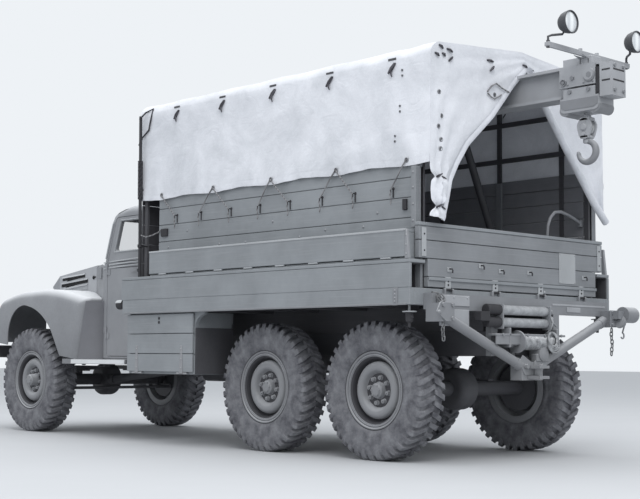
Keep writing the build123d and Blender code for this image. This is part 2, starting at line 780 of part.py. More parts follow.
def cab_form(inset, foot):
    """The cab as a solid down to a foot height, drawn in by an inset."""
    with BuildPart() as form:
        with BuildSketch(Plane.XY.offset(foot)):
            with BuildLine():
                Polyline(
                    (at(cab_rear + inset), cab_half - inset),
                    (at(door_side), cab_half - inset),
                    (at(firewall - inset), cowl_half - inset),
                    (at(firewall - inset), inset - cowl_half),
                    (at(door_side), inset - cab_half),
                    (at(cab_rear + inset), inset - cab_half),
                    close=True,
                )
            make_face()
        extrude(amount=roof_height + 50 - foot)
        with BuildSketch(Plane.XZ.offset(-cab_half - 50)):
            with BuildLine():
                corners = []
                for index, (station, z, radius) in enumerate(cab_corners):
                    shift = inset if index < 2 else (-inset if index > 2 else 0)
                    height = foot - 10 if index in (0, len(cab_corners) - 1) else z - inset
                    corners.append((at(station + shift), height))
                radii = [corner[2] for corner in cab_corners[1:-1]]
                top = FilletPolyline(*corners, radius=radii)
                Line(top @ 1, top @ 0)
            make_face()
        extrude(amount=2 * cab_half + 100, mode=Mode.INTERSECT)
        rounded = form.edges().filter_by(
            lambda edge: abs(edge.center().Y) > cab_half - inset - 5
            and (edge.center().X < at(cab_rear + inset + 2)
                 or (edge.center().Z > 1700 and edge.center().X < at(door_side))))
        fillet(rounded, cab_round - inset)
    return form


# The cowl carries the bonnet's crown back to the windscreen: its rear and front sections, as for the bonnet
cowl_sections = (
    (screen_base - 45, cowl_half + 130, scuttle_height - 34, bonnet_crown),
    (firewall, cowl_half, scuttle_height - 14, bonnet_crown),
)
cab_outer = cab_form(0, cab_skirt)
cab_inner = cab_form(cab_wall, cab_floor)
cab_inner_full = cab_form(cab_wall, cab_skirt - 10)
cab_foot = rail_top + fit

# Door and window outlines in the cab's side: station, height
door_outline = (
    (door_rear, door_bottom),
    (door_front, door_bottom),
    (door_front, scuttle_height + 8),
    (3580.0, door_top),
    (door_rear, door_top),
)
door_round = 40.0
window_outline = (
    (3205.0, window_sill),
    (3600.0, window_sill),
    (3505.0, door_top - 38),
    (3205.0, door_top - 38),
)
window_round = 28.0
hinge_heights = (930.0, 1540.0)
hinge_radius = 9.0
hinge_length = 56.0
hinge_leaf = 44.0
hinge_station = door_front + door_gap / 2
hinge_y = cab_half + hinge_radius
screen_half = 690.0
screen_post = 22.0
screen_z = (scuttle_height + 70, roof_height - 128)
rear_light_half = 330.0
rear_light_z = (window_sill + 22, door_top - 58)
seat_x = (3190.0, 3640.0)
seat_half = 690.0
seat_base = 1215.0
seat_top = 1385.0


def side_opening(outline, grow, corner, y, mode):
    """A prism through the left side with rounded corners, from an outline of (station, z) points."""
    with BuildSketch(Plane.XZ.offset(-y[1])) as section:
        with BuildLine():
            Polyline([(at(station), z) for station, z in outline], close=True)
        make_face()
        fillet(section.vertices(), corner)
        if grow:
            offset(amount=grow, kind=Kind.ARC)
    extrude(section.sketch, amount=y[1] - y[0], mode=mode)


def hinge_barrels(side, own):
    """Hinge barrels with their leaves at the front of a door: its own ones, or the fixed ones above them."""
    direction = -1 if own else 1
    for height in hinge_heights:
        low = height if own else height + hinge_length + fit
        level = (low, low + hinge_length)
        barrel_foot = (hinge_station, side * hinge_y, level[0])
        rod(barrel_foot, (hinge_station, side * hinge_y, level[1]), hinge_radius)
        leaf_x = sorted((hinge_station, hinge_station + direction * hinge_leaf))
        block(leaf_x, sorted((side * (cab_half + fit), side * (cab_half + 6))), level)
        seat_start = hinge_station + direction * door_gap
        seat_span = sorted((seat_start, hinge_station + direction * hinge_leaf))
        block(seat_span, sorted((side * (cab_half - 3), side * (cab_half + 6))), level)


with BuildPart() as cab_shell:
    add(cab_outer.part)
    add(bonnet_bay(*cowl_sections, 0, 0).part)
    add(cab_inner.part, mode=Mode.SUBTRACT)
    skirt_half = cab_half - cab_wall
    with BuildSketch(Plane.XY.offset(cab_skirt - 10)):
        with BuildLine():
            Polyline(
                (at(cab_rear - 10), skirt_half),
                (at(door_side), skirt_half),
                (at(firewall + 10), cowl_half - cab_wall),
                (at(firewall + 10), cab_wall - cowl_half),
                (at(door_side), -skirt_half),
                (at(cab_rear - 10), -skirt_half),
                close=True,
            )
        make_face()
    extrude(amount=cab_foot - cab_skirt + 10, mode=Mode.SUBTRACT)
    for side in (1, -1):
        wall_y = (500, 900) if side > 0 else (-900, -500)
        side_opening(door_outline, door_gap, door_round, wall_y, Mode.SUBTRACT)
    for pane in (1, -1):
        pane_y = sorted((pane * screen_post, pane * screen_half))
        block((3560, screen_base + 60), pane_y, screen_z, Mode.SUBTRACT)
    rear_light_y = (-rear_light_half, rear_light_half)
    block((cab_rear - 10, cab_rear + cab_wall + 10), rear_light_y, rear_light_z, Mode.SUBTRACT)
    block(seat_x, (-seat_half, seat_half), (cab_floor - 5, seat_base))
    block((3880.0, 3960.0), (-skirt_half - 2, skirt_half + 2), (scuttle_height - 132, scuttle_height - 27))
    for side in (1, -1):
        hinge_barrels(side, False)
    lid_hinges(cowl_hinge_y, -1)
save(cab_shell, "cab_shell")

# Cab glass: two windscreen panes and the rear light, in grooves round their openings
glass_inset = 14.0
glass_thick = 6.0
glass_outer = cab_form(glass_inset, cab_floor)
glass_inner = cab_form(glass_inset + glass_thick, cab_floor - 20)
with BuildPart() as cab_glass:
    add(glass_outer.part)
    add(glass_inner.part, mode=Mode.SUBTRACT)
    with BuildSketch(Plane.YZ.offset(at(cab_rear - 20))) as panes:
        for pane in (1, -1):
            middle = pane * (screen_post + screen_half) / 2
            with Locations((middle, sum(screen_z) / 2)):
                Rectangle(screen_half - screen_post - 2 * fit, screen_z[1] - screen_z[0] - 2 * fit)
    extrude(amount=900, mode=Mode.INTERSECT)
    light_z = (rear_light_z[0] + fit, rear_light_z[1] - fit)
    block((cab_rear, cab_rear + cab_wall), (-screen_half, screen_half), (1700, 2100), Mode.SUBTRACT)
    light_x = (cab_rear + glass_inset, cab_rear + glass_inset + glass_thick)
    block(light_x, (fit - rear_light_half, rear_light_half - fit), light_z)
save(cab_glass, "cab_glass")

# Doors: cut from the cab's walls, hinged at the front, with their windows wound down
for name, side in (("left", 1), ("right", -1)):
    with BuildPart() as door:
        add(cab_outer.part)
        add(cab_inner_full.part, mode=Mode.SUBTRACT)
        wall_y = (500, 900) if side > 0 else (-900, -500)
        side_opening(door_outline, 0, door_round, wall_y, Mode.INTERSECT)
        side_opening(window_outline, 0, window_round, wall_y, Mode.SUBTRACT)
        hinge_barrels(side, True)
        handle_y = sorted((side * (cab_half - 2), side * (cab_half + 34)))
        block((door_rear + 50, door_rear + 66), handle_y, (1560, 1576))
        grip_y = sorted((side * (cab_half + 22), side * (cab_half + 34)))
        block((door_rear + 50, door_rear + 160), grip_y, (1560, 1576))
    save(door, f"door_{name}")

# Bench seat: cushion and backrest
with BuildPart() as cab_seat:
    cushion_z = (seat_base + fit, seat_top)
    block((seat_x[0] + 5, seat_x[1] + 10), (5 - seat_half, seat_half - 5), cushion_z)
    block((cab_rear + cab_wall + fit, seat_x[0] + 60), (5 - seat_half, seat_half - 5), (seat_top + fit, 1830))
save(cab_seat, "cab_seat")

# Steering wheel on its column, which ends at the dash
steer_y = 365.0
steer_wheel_radius = 200.0
steer_head = (3640.0, steer_y, scuttle_height - 42)
steer_foot = (3872.3, steer_y, scuttle_height - 122)
steer_axis = Vector(steer_head[0] - steer_foot[0], 0, steer_head[2] - steer_foot[2])
with BuildPart() as steering_wheel:
    rod(steer_foot, steer_head, 22)
    hub_plane = Plane(origin=(at(steer_head[0]), steer_head[1], steer_head[2]), z_dir=steer_axis)
    with Locations(hub_plane):
        Cylinder(42, 30)
        Torus(steer_wheel_radius, 14)
        with PolarLocations(steer_wheel_radius / 2, 3, start_angle=90):
            Box(steer_wheel_radius - 8, 22, 9)
save(steering_wheel, "steering_wheel")

# Body floor: deck planks, side rails and cross bearers on two runners over the frame rails
bearer_stations = (-560.0, 50.0, 620.0, 1190.0, 1760.0, 2300.0, 2800.0)
bearer_half = 32.0
runner_thick = 75.0
with BuildPart() as body_floor:
    plank_foot = deck_top - deck_plank
    block((body_rear, body_front), (-body_half, body_half), (plank_foot, deck_top))
    for side in (1, -1):
        rail_y = sorted((side * body_half, side * (body_half - side_rail)))
        block((body_rear, body_front), rail_y, (deck_bottom, deck_top))
        runner_y = sorted((side * frame_half, side * (frame_half - runner_thick)))
        block((body_rear, body_front), runner_y, (rail_top + fit, plank_foot))
    for station in bearer_stations:
        bearer_y = (side_rail - body_half, body_half - side_rail)
        block((station - bearer_half, station + bearer_half), bearer_y, (deck_bottom, plank_foot))
    block((body_rear, body_rear + side_rail), (-body_half, body_half), (deck_bottom, deck_top))
    block((body_front - side_rail, body_front), (-body_half, body_half), (deck_bottom, deck_top))
save(body_floor, "body_floor")

# Lower side boxes: a long open-ended tunnel along each side of the deck
with BuildPart() as side_boxes:
    box_foot = deck_top + fit
    for side in (1, -1):
        lid_y = sorted((side * (board_outer + fit), side * body_half))
        wall_y = sorted((side * (body_half - box_wall), side * body_half))
        block((body_rear, side_box_front), lid_y, (side_box_top - box_wall, side_box_top))
        block((body_rear, side_box_front), wall_y, (box_foot, side_box_top))
        block((side_box_front - box_wall, side_box_front), lid_y, (box_foot, side_box_top))
save(side_boxes, "side_boxes")

# Upper side locker on the left, with its flap hinged along the bottom edge
locker_wall = 20.0
locker_foot = side_box_top + fit
flap_thick = 20.0
flap_foot = locker_foot + 18
flap_pin = 7.0
flap_pin_z = flap_foot - flap_pin + 2
with BuildPart() as side_locker:
    shell_y = (board_outer + fit, locker_outer - flap_thick - door_gap)
    block((locker_rear, locker_front), shell_y, (locker_foot, locker_foot + 14))
    block((locker_rear, locker_front), shell_y, (locker_top - locker_wall, locker_top))
    for end_x in ((locker_rear, locker_rear + locker_wall), (locker_front - locker_wall, locker_front)):
        block(end_x, shell_y, (locker_foot, locker_top))
    block((locker_rear, locker_front), (shell_y[0], shell_y[0] + 6), (locker_foot, locker_top))
    lip_y = (shell_y[1] - 10, locker_outer - 2 * flap_pin - fit)
    block((locker_rear, locker_front), lip_y, (locker_foot, flap_pin_z))
save(side_locker, "side_locker")

with BuildPart() as locker_flap:
    flap_y = (locker_outer - flap_thick, locker_outer)
    block((locker_rear, locker_front), flap_y, (flap_foot, locker_top))
    flap_pin_y = locker_outer - flap_pin
    rod((locker_rear + 40, flap_pin_y, flap_pin_z), (locker_front - 40, flap_pin_y, flap_pin_z), flap_pin)
save(locker_flap, "locker_flap")

# Side boards and front board, with a corner post at the rear end of each side
post_half_x = 26.0
post_outer = 1112.0
post_top = 2290.0
tailboard_front = body_rear + tailboard_thick
with BuildPart() as side_boards:
    board_foot = deck_top + fit
    for side in (1, -1):
        board_y = sorted((side * board_inner, side * board_outer))
        block((board_rear, board_front), board_y, (board_foot, board_top))
        post_y = sorted((side * (board_inner + fit), side * post_outer))
        post_x = (tailboard_front + door_gap, board_rear)
        low_y = sorted((side * (board_inner + fit), side * board_outer))
        block(post_x, low_y, (board_foot, post_top))
        block(post_x, post_y, (locker_top + 20, hem_height - 12))
    front_y = (fit - board_inner, board_inner - fit)
    block((board_front - board_thick, board_front), front_y, (board_foot, board_top))
save(side_boards, "side_boards")

# Tailboard, hinged along its bottom edge
tail_pin = 9.0
tail_hinge_station = body_rear - tail_pin - 1
tail_hinge_z = deck_top - 4
tail_hinges = (-820.0, -280.0, 280.0, 820.0)
tail_hinge_half = 34.0
with BuildPart() as tailboard:
    low_z = (deck_top + door_gap, tailboard_step + 1)
    block((body_rear, tailboard_front), (-tailboard_low_half, tailboard_low_half), low_z)
    wide_y = (-tailboard_wide_half, tailboard_wide_half)
    block((body_rear, tailboard_front), wide_y, (tailboard_step, tailboard_top))
    for y in tail_hinges:
        hinge_y_range = (y - tail_hinge_half, y + tail_hinge_half)
        barrel_foot = (tail_hinge_station, hinge_y_range[0], tail_hinge_z)
        rod(barrel_foot, (tail_hinge_station, hinge_y_range[1], tail_hinge_z), tail_pin)
        block((body_rear - 8, body_rear - fit), hinge_y_range, (tail_hinge_z, tail_hinge_z + 90))
        block((body_rear - 2, body_rear + 1), hinge_y_range, (tail_hinge_z + 16, tail_hinge_z + 90))
save(tailboard, "tailboard")

# Rear beam under the tail of the deck: hinge lugs for the tailboard, corner brackets, tow struts, tow jaw
beam_x = (-690.0, body_rear - fit)
rear_beam_half = 1080.0
rear_beam_z = (1107.0, 1220.0)
strut_radius = 37.0
strut_station = -712.0
strut_head = (1010.0, 1075.0)   # y, z
strut_foot = (92.0, 705.0)      # y, z
bracket_x = (-790.0, -640.0)
bracket_y = (985.0, 1085.0)
bracket_z = (1020.0, 1150.0)
# Round post on the right bracket only
post_station = -840.0
post_height = 1120.0
post_radius = 64.0
hitch_half = 130.0
hitch_z = (600.0, 740.0)
hitch_x = (-745.0, frame_rear - fit)
jaw_x = (-860.0, -740.0)
jaw_half = 60.0
jaw_bore = 18.0
jaw_station = -815.0
jaw_plates = ((690.0, 712.0), (612.0, 634.0))
with BuildPart() as rear_beam:
    block(beam_x, (-rear_beam_half, rear_beam_half), rear_beam_z)
    for side in (1, -1):
        block(bracket_x, sorted((side * bracket_y[0], side * bracket_y[1])), bracket_z)
        strut_top = (strut_station, side * strut_head[0], strut_head[1])
        rod(strut_top, (strut_station, side * strut_foot[0], strut_foot[1]), strut_radius)
        post_y = sorted((side * frame_half, side * (frame_half - runner_thick)))
        block((beam_x[0], frame_rear - fit), post_y, (rail_bottom, rear_beam_z[0] + 5))
    rod((post_station, 15 - bracket_y[1], post_height), (post_station, 4 - body_half, post_height), post_radius)
    block((post_station - 20, post_station + 60), (-bracket_y[1], -bracket_y[0]), (1085, bracket_z[1]))
    for y in tail_hinges:
        for end in (-1, 1):
            lug_y = sorted((y + end * (tail_hinge_half + fit), y + end * (tail_hinge_half + 20)))
            barrel_foot = (tail_hinge_station, lug_y[0], tail_hinge_z)
            rod(barrel_foot, (tail_hinge_station, lug_y[1], tail_hinge_z), tail_pin)
            lug_x = (tail_hinge_station - tail_pin, body_rear - fit)
            block(lug_x, lug_y, (rear_beam_z[1] - 5, tail_hinge_z))
    block(hitch_x, (-hitch_half, hitch_half), hitch_z)
    for z in jaw_plates:
        block(jaw_x, (-jaw_half, jaw_half), z)
        rod((jaw_station, 0, z[0]), (jaw_station, 0, z[1]), jaw_bore, Mode.SUBTRACT)
    for side in (1, -1):
        hanger_y = sorted((side * (hitch_half - 30), side * hitch_half))
        block((frame_rear - 20, frame_rear - fit), hanger_y, (hitch_z[1] - 5, member_high))
save(rear_beam, "rear_beam")

# Winch and its two fairlead rollers behind the frame
roller_half = 270.0
roller_station = -728.0
roller_table = ((1122.0, 37.0), (1030.0, 36.0))   # z, radius
cheek_x = (-770.0, -692.0)
drum_z = 888.0
drum_half = 250.0
with BuildPart() as rear_winch:
    for z, radius in roller_table:
        rod((roller_station, -roller_half, z), (roller_station, roller_half, z), radius)
    for y in ((roller_half, roller_half + 45), (-roller_half - 45, -roller_half)):
        block(cheek_x, y, (985, 1100))
        block((cheek_x[0], beam_x[0] - fit), y, (1090, 1165))
    block(cheek_x, (roller_half + 44, 625), (1033, 1106 - fit))
    block((cheek_x[0], beam_x[0] - fit), (-390, 460), (930, 946))
    for y in (-300.0, 280.0):
        block(cheek_x, (y, y + 20), (845, 990))
    rod((roller_station, -300, drum_z), (roller_station, 300, drum_z), 34)
    rod((roller_station, -drum_half, drum_z), (roller_station, drum_half - 90, drum_z), 62)
save(rear_winch, "rear_winch")

# Safety chains: open links, a length hanging on the right bracket and a shorter one on the left bracket
link_half = 24.0
link_width = 17.0
link_bar = 9.0
link_pitch = 2 * (link_half - link_bar) + 1
link_corner = 9.0
chain_station = bracket_x[0] + 30
chain_y = 1035.0
with BuildPart() as safety_chains:
    for side, count in ((-1, 7), (1, 4)):
        for link in range(count):
            z = bracket_z[0] - fit - link_half - link * link_pitch
            middle = (at(chain_station), side * chain_y, z)
            across = (1, 0, 0) if link % 2 else (0, 1, 0)
            with BuildSketch(Plane(origin=middle, x_dir=(0, 0, 1), z_dir=across)) as ring:
                Rectangle(2 * link_half, 2 * link_width)
                chamfer(ring.vertices(), link_corner)
                Rectangle(2 * (link_half - link_bar), 2 * (link_width - link_bar), mode=Mode.SUBTRACT)
            extrude(ring.sketch, amount=link_bar / 2, both=True)
save(safety_chains, "safety_chains")

# Under-floor lockers: a shell on each side, open outwards, and its drop door
chest_top = deck_bottom - fit
chest_door_thick = 20.0
chest_pin = 8.0
with BuildPart() as floor_lockers:
    for side in (1, -1):
        shell_outer = chest_outer - chest_door_thick - door_gap
        shell = sorted((side * chest_inner, side * shell_outer))
        back = sorted((side * chest_inner, side * (chest_inner + chest_wall)))
        block((chest_rear, chest_front), back, (chest_bottom, chest_top))
        for z in ((chest_bottom, chest_bottom + chest_wall), (chest_top - chest_wall, chest_top)):
            block((chest_rear, chest_front), shell, z)
        for x in ((chest_rear, chest_rear + chest_wall), (chest_front - chest_wall, chest_front)):
            block(x, shell, (chest_bottom, chest_top))
        for station in (chest_rear + 150, chest_front - 150):
            seat_y = sorted((side * (shell_outer - 1), side * (chest_outer - 2 * chest_pin - fit)))
            block((station - 70, station + 70), seat_y, (chest_bottom, chest_bottom + 2 * chest_pin))
        flare = ((chest_rear + 1, 1010.0), (chest_rear + 1, chest_top), (chest_rear - 125, chest_top))
        flare_y = sorted((side * (chest_outer - 60), side * shell_outer))
        side_plate(flare, flare_y)
save(floor_lockers, "floor_lockers")

chest_hinge_z = chest_bottom + chest_pin
for name, side in (("left", 1), ("right", -1)):
    with BuildPart() as chest_door:
        panel_y = sorted((side * (chest_outer - chest_door_thick), side * chest_outer))
        block((chest_rear + 3, chest_front - 3), panel_y, (chest_bottom + 2 * chest_pin + 2, chest_top - 8))
        pin_y = side * (chest_outer - chest_pin)
        for station in (chest_rear + 150, chest_front - 150):
            rod((station - 70, pin_y, chest_hinge_z), (station + 70, pin_y, chest_hinge_z), chest_pin)
            strap_y = sorted((side * (chest_outer - 7), side * chest_outer))
            block((station - 20, station + 20), strap_y, (chest_hinge_z, chest_hinge_z + 30))
    save(chest_door, f"chest_door_{name}")

# Tilt frame: hoops standing on the deck inside the boards, and the laths that tie them
hoop_half = lath / 2
lath_rows = (hem_height + 337, eave_height - 175)
hoop_low = deck_top + fit
hoop_outer_half = board_inner - fit
hoop_outline = (
    (hoop_outer_half, hoop_low),
    (hoop_outer_half, eave_height - 20),
    (shoulder_half - 10, shoulder_height - canvas_thick - 12),
    (0, ridge_height - canvas_thick - 8),
)
with BuildPart() as tilt_frame:
    for station in hoop_stations:
        hoop_x = (station - hoop_half, station + hoop_half)
        outer = [*hoop_outline, *[(-y, z) for y, z in reversed(hoop_outline[:-1])]]
        inner_half = [(y - lath_thick, z - lath_thick * (index > 0))
                      for index, (y, z) in enumerate(hoop_outline)]
        inner_half[-1] = (0, hoop_outline[-1][1] - lath_thick)
        inner_half[0] = (inner_half[0][0], hoop_low - 5)
        inner = [*inner_half, *[(-y, z) for y, z in reversed(inner_half[:-1])]]
        cross_plate(outer, hoop_x)
        cross_plate(inner, hoop_x, Mode.SUBTRACT)
    lath_x = (hoop_stations[0] - hoop_half, hoop_stations[-1] + hoop_half)
    for side in (1, -1):
        for z in lath_rows:
            inner_face = hoop_outer_half - lath_thick - fit
            lath_y = sorted((side * inner_face, side * (inner_face - lath_thick)))
            block(lath_x, lath_y, (z - hoop_half, z + hoop_half))
save(tilt_frame, "tilt_frame")

# Canvas tilt: a closed shell, open below, with a tied-back opening at the rear
# Half section from the hem over the eave to the ridge: y, z
tilt_section = (
    (canvas_half, hem_height),
    (canvas_half, eave_height),
    (shoulder_half + 6, shoulder_height),
    (0.0, ridge_height),
)
# Rear opening, anticlockwise from the apex at the beam: y, z
tilt_opening = (
    (-130.0, beam_top + 35), (-208.0, beam_top - 150), (-504.0, 2446.0), (-894.0, 2025.0), (-1010.0, 1925.0),
    (-1010.0, 1740.0), (922.0, 1740.0), (872.0, 1906.0), (838.0, 2043.0), (769.0, 2162.0), (648.0, 2323.0),
    (361.0, 2566.0), (130.0, beam_top - 75), (120.0, beam_top + 35),
)
flap_hem = 1770.0
with BuildPart() as canvas_tilt:
    mirrored = [(-y, z) for y, z in reversed(tilt_section[:-1])]
    cross_plate([*tilt_section, *mirrored], (canvas_rear, canvas_front))
    inner_section = [(max(y - canvas_thick, 0), z - canvas_thick * (index > 0))
                     for index, (y, z) in enumerate(tilt_section)]
    inner_section[0] = (inner_section[0][0], hem_height - 10)
    mirrored = [(-y, z) for y, z in reversed(inner_section[:-1])]
    inner_x = (canvas_rear + canvas_thick, canvas_front - canvas_thick)
    cross_plate([*inner_section, *mirrored], inner_x, Mode.SUBTRACT)
    rear_x = (canvas_rear, canvas_rear + canvas_thick)
    block(rear_x, (-canvas_half, canvas_half), (flap_hem, hem_height + 5))
    cross_plate(tilt_opening, (canvas_rear - 5, canvas_rear + canvas_thick + 5), Mode.SUBTRACT)
save(canvas_tilt, "canvas_tilt")

# Lifting beam: an I section on the centre line, with an end block and cheek plates
cheek_thick = 12.0
cheek_z = (beam_bottom + 75, beam_top - 13)
cheek_x_range = (-1400.0, -1085.0)
sheave_station = -1345.0
with BuildPart() as lifting_beam:
    block((beam_rear, beam_front), (-beam_web / 2, beam_web / 2), (beam_bottom, beam_top))
    for z in ((beam_bottom, beam_bottom + beam_flange), (beam_top - beam_flange, beam_top)):
        block((beam_rear, beam_front), (-beam_half, beam_half), z)
    block((-rear_overhang, beam_rear + 5), (-beam_half - 8, beam_half + 8), (beam_bottom - 27, beam_top - 23))
    fill_x = (cheek_x_range[0] + 30, cheek_x_range[1] - 30)
    sheave_z = beam_top - 85
    for side in (1, -1):
        plate_y = sorted((side * (beam_half - 2), side * (beam_half + cheek_thick)))
        block(cheek_x_range, plate_y, cheek_z)
        fill_y = sorted((side * (beam_web / 2 - 1), side * (beam_half - 1)))
        block(fill_x, fill_y, (cheek_z[0] + 20, beam_top - beam_flange + 1))
        sheave_face = (sheave_station, side * (beam_half + 24), sheave_z)
        rod((sheave_station, side * beam_half, sheave_z), sheave_face, 44)
save(lifting_beam, "lifting_beam")

# Beam supports: two portals from the deck to the beam
portal_stations = (175.0, 1640.0)
portal_leg = 32.0
with BuildPart() as beam_supports:
    for station in portal_stations:
        top_z = beam_top + fit
        block((station - 40, station + 40), (-150, 150), (top_z, top_z + 60))
        for side in (1, -1):
            rod((station, side * 930, deck_top + fit + 14), (station, side * 128, top_z + 30), portal_leg)
            foot_y = sorted((side * 860, side * 990))
            block((station - 70, station + 70), foot_y, (deck_top + fit, deck_top + 20))
save(beam_supports, "beam_supports")

# Hoist trolley on the beam's lower flange
trolley_x = (-1430.0, -1092.0)
trolley_half = 96.0
trolley_z = (beam_bottom - 115, beam_bottom - 7)
trolley_wheel = 17.0
trolley_wheels = (-1345.0, -1180.0)
hook_pin = 20.0
with BuildPart() as hoist_trolley:
    block(trolley_x, (-trolley_half, trolley_half), trolley_z)
    fillet(hoist_trolley.edges().filter_by(Axis.Y).group_by(Axis.Z)[0], 38)
    for side in (1, -1):
        plate_y = sorted((side * (beam_half + 4), side * trolley_half))
        block((-1400.0, -1122.0), plate_y, (trolley_z[1] - 2, beam_bottom + 61))
        for station in trolley_wheels:
            wheel_z = beam_bottom + beam_flange + fit + trolley_wheel
            wheel_face = (station, side * (beam_half + 6), wheel_z)
            rod((station, side * (beam_web / 2 + 12), wheel_z), wheel_face, trolley_wheel)
    rod((hoist_station, 0, trolley_z[0] - 20), (hoist_station, 0, trolley_z[0] + 10), hook_pin)
    rod((hoist_station, 0, trolley_z[0] - 34), (hoist_station, 0, trolley_z[0] - 19), hook_pin + 12)
save(hoist_trolley, "hoist_trolley")

# Hook block, swivelling below the trolley
block_z = (trolley_z[0] - 194, trolley_z[0] - 34 - fit)
hook_centre = (hoist_station, 0.0, trolley_z[0] - 288)
hook_mean = 76.0
hook_thick = 25.0
with BuildPart() as hook_block:
    for side in (1, -1):
        plate_y = sorted((side * 22, side * 44))
        block((hoist_station - 76, hoist_station + 76), plate_y, (block_z[0], block_z[1] - 22))
    fillet(hook_block.edges().filter_by(Axis.Y), 34)
    block((hoist_station - 44, hoist_station + 44), (-44, 44), (block_z[1] - 26, block_z[1]))
    sheave_z = sum(block_z) / 2 + 4
    rod((hoist_station, -30, sheave_z), (hoist_station, 30, sheave_z), 56)
    block((hoist_station - 40, hoist_station + 40), (-44, 44), (block_z[0], block_z[0] + 24))
    rod((hoist_station, 0, hook_centre[2] + hook_mean - 12), (hoist_station, 0, block_z[0] + 4), hook_thick)
    with BuildLine(Plane.XZ.offset(0)) as bowl_line:
        bowl = CenterArc((at(hook_centre[0]), hook_centre[2]), hook_mean, 92, 268)
    with BuildSketch(Plane(origin=bowl @ 0, z_dir=bowl % 0)):
        Circle(hook_thick)
    sweep()
    tip = bowl @ 1
    with Locations(tip):
        Sphere(hook_thick)
save(hook_block, "hook_block")

# Lamp bar across the end of the beam, with two work lamps facing rearwards
lamp_bar_station = -1283.0
lamp_bar_half = 512.0
lamp_bar_z = (beam_top + 60, beam_top + 91)
lamp_station = -1400.0
lamp_y = 420.0
lamp_z = lamp_bar_z[1] + 134
lamp_radius = 84.0
with BuildPart() as lamp_bar:
    block((lamp_bar_station - 70, lamp_bar_station + 190), (-58, 58), (beam_top + fit, lamp_bar_z[0] + 2))
    block((lamp_bar_station - 22, lamp_bar_station + 22), (-lamp_bar_half, lamp_bar_half), lamp_bar_z)
    for side in (1, -1):
        end_y = side * (lamp_bar_half - 16)
        arm_z = lamp_bar_z[1] + 46
        rod((lamp_bar_station, end_y, lamp_bar_z[1] - 5), (lamp_bar_station, end_y, arm_z + 6), 10)
        rod((lamp_bar_station, end_y, arm_z), (lamp_station + 40, side * lamp_y, arm_z + 14), 9)
        rod((lamp_station + 40, side * lamp_y, arm_z + 4), (lamp_station + 40, side * lamp_y, lamp_z), 9)
        y = side * lamp_y
        rod((lamp_station - 30, y, lamp_z), (lamp_station + 30, y, lamp_z), lamp_radius)
        rod((lamp_station + 20, y, lamp_z), (lamp_station + 70, y, lamp_z), lamp_radius - 34)
save(lamp_bar, "lamp_bar")

# Lamps: a headlamp each side of the radiator shell, a marker at each front corner of the deck,
# and a tail lamp hung under each rear corner
headlamp_y = 610.0
headlamp_z = 1090.0
headlamp_radius = 105.0
headlamp_rear = 5555.0
headlamp_front = 5660.0
tail_lamp_station = -548.0
with BuildPart() as lamps:
    for side in (1, -1):
        lamp_y = side * headlamp_y
        rod((headlamp_rear + 20, lamp_y, headlamp_z), (headlamp_front, lamp_y, headlamp_z), headlamp_radius)
        shell_front = (headlamp_rear + 20, lamp_y, headlamp_z)
        rod((headlamp_rear + fit, lamp_y, headlamp_z), shell_front, headlamp_radius - 25)
        rim_rear = (headlamp_front, lamp_y, headlamp_z)
        rod(rim_rear, (headlamp_front + 12, lamp_y, headlamp_z), headlamp_radius - 12)
        marker_y = sorted((side * (body_half - 74), side * (body_half - 2)))
        block((body_front + fit, body_front + 36), marker_y, (deck_top - 62, deck_top - 8))
        marker_foot = (body_front + 20, side * (body_half - 34), deck_top - 36)
        marker_face = (body_front + 82, side * (body_half - 34), deck_top - 36)
        rod(marker_foot, marker_face, 30)
        tail_y = side * (body_half - 74)
        rod((tail_lamp_station, tail_y, deck_bottom - 45), (tail_lamp_station, tail_y, deck_bottom - fit), 12)
        rod((tail_lamp_station, tail_y, deck_bottom - 175), (tail_lamp_station, tail_y, deck_bottom - 37), 38)
save(lamps, "lamps")
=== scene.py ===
import math

import bmesh
import bpy
from mathutils import Matrix, Vector, noise
from mathutils.bvhtree import BVHTree


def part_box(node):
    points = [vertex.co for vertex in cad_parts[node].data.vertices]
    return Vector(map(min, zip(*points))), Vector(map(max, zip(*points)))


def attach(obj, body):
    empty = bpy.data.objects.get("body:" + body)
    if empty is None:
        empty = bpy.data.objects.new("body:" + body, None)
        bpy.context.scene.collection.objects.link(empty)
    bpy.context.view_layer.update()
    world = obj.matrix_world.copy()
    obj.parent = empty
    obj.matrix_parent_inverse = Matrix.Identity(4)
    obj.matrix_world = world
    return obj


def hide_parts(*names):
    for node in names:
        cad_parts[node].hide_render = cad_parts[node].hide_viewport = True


# Six-wheel-drive recovery truck. Metres, +X forward, +Y left, +Z up, origin on the ground under its middle.
# A station is a distance forward of the rearmost axle, and at() turns it into X.

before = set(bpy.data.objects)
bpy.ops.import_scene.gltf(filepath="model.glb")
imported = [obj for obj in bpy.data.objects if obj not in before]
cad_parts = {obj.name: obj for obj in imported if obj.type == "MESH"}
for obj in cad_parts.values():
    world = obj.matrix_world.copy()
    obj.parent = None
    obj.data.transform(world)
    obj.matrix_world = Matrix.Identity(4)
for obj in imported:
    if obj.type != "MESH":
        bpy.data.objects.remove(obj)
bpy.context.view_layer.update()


def middle(node):
    """Middle of a node's box."""
    low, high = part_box(node)
    return (low + high) / 2


rear_axle_x = middle("wheel_rear_left").x


def at(station):
    """X of a station."""
    return station + rear_axle_x


# Camera: fitted to the photograph by the truck's known edges
photo_width = 640
photo_focal = 1299.8     # pixels
camera_place = Vector((-8.934, 7.951, 0.765))
camera_yaw = math.radians(-43.538)
camera_pitch = math.radians(4.732)
camera_roll = math.radians(0.346)


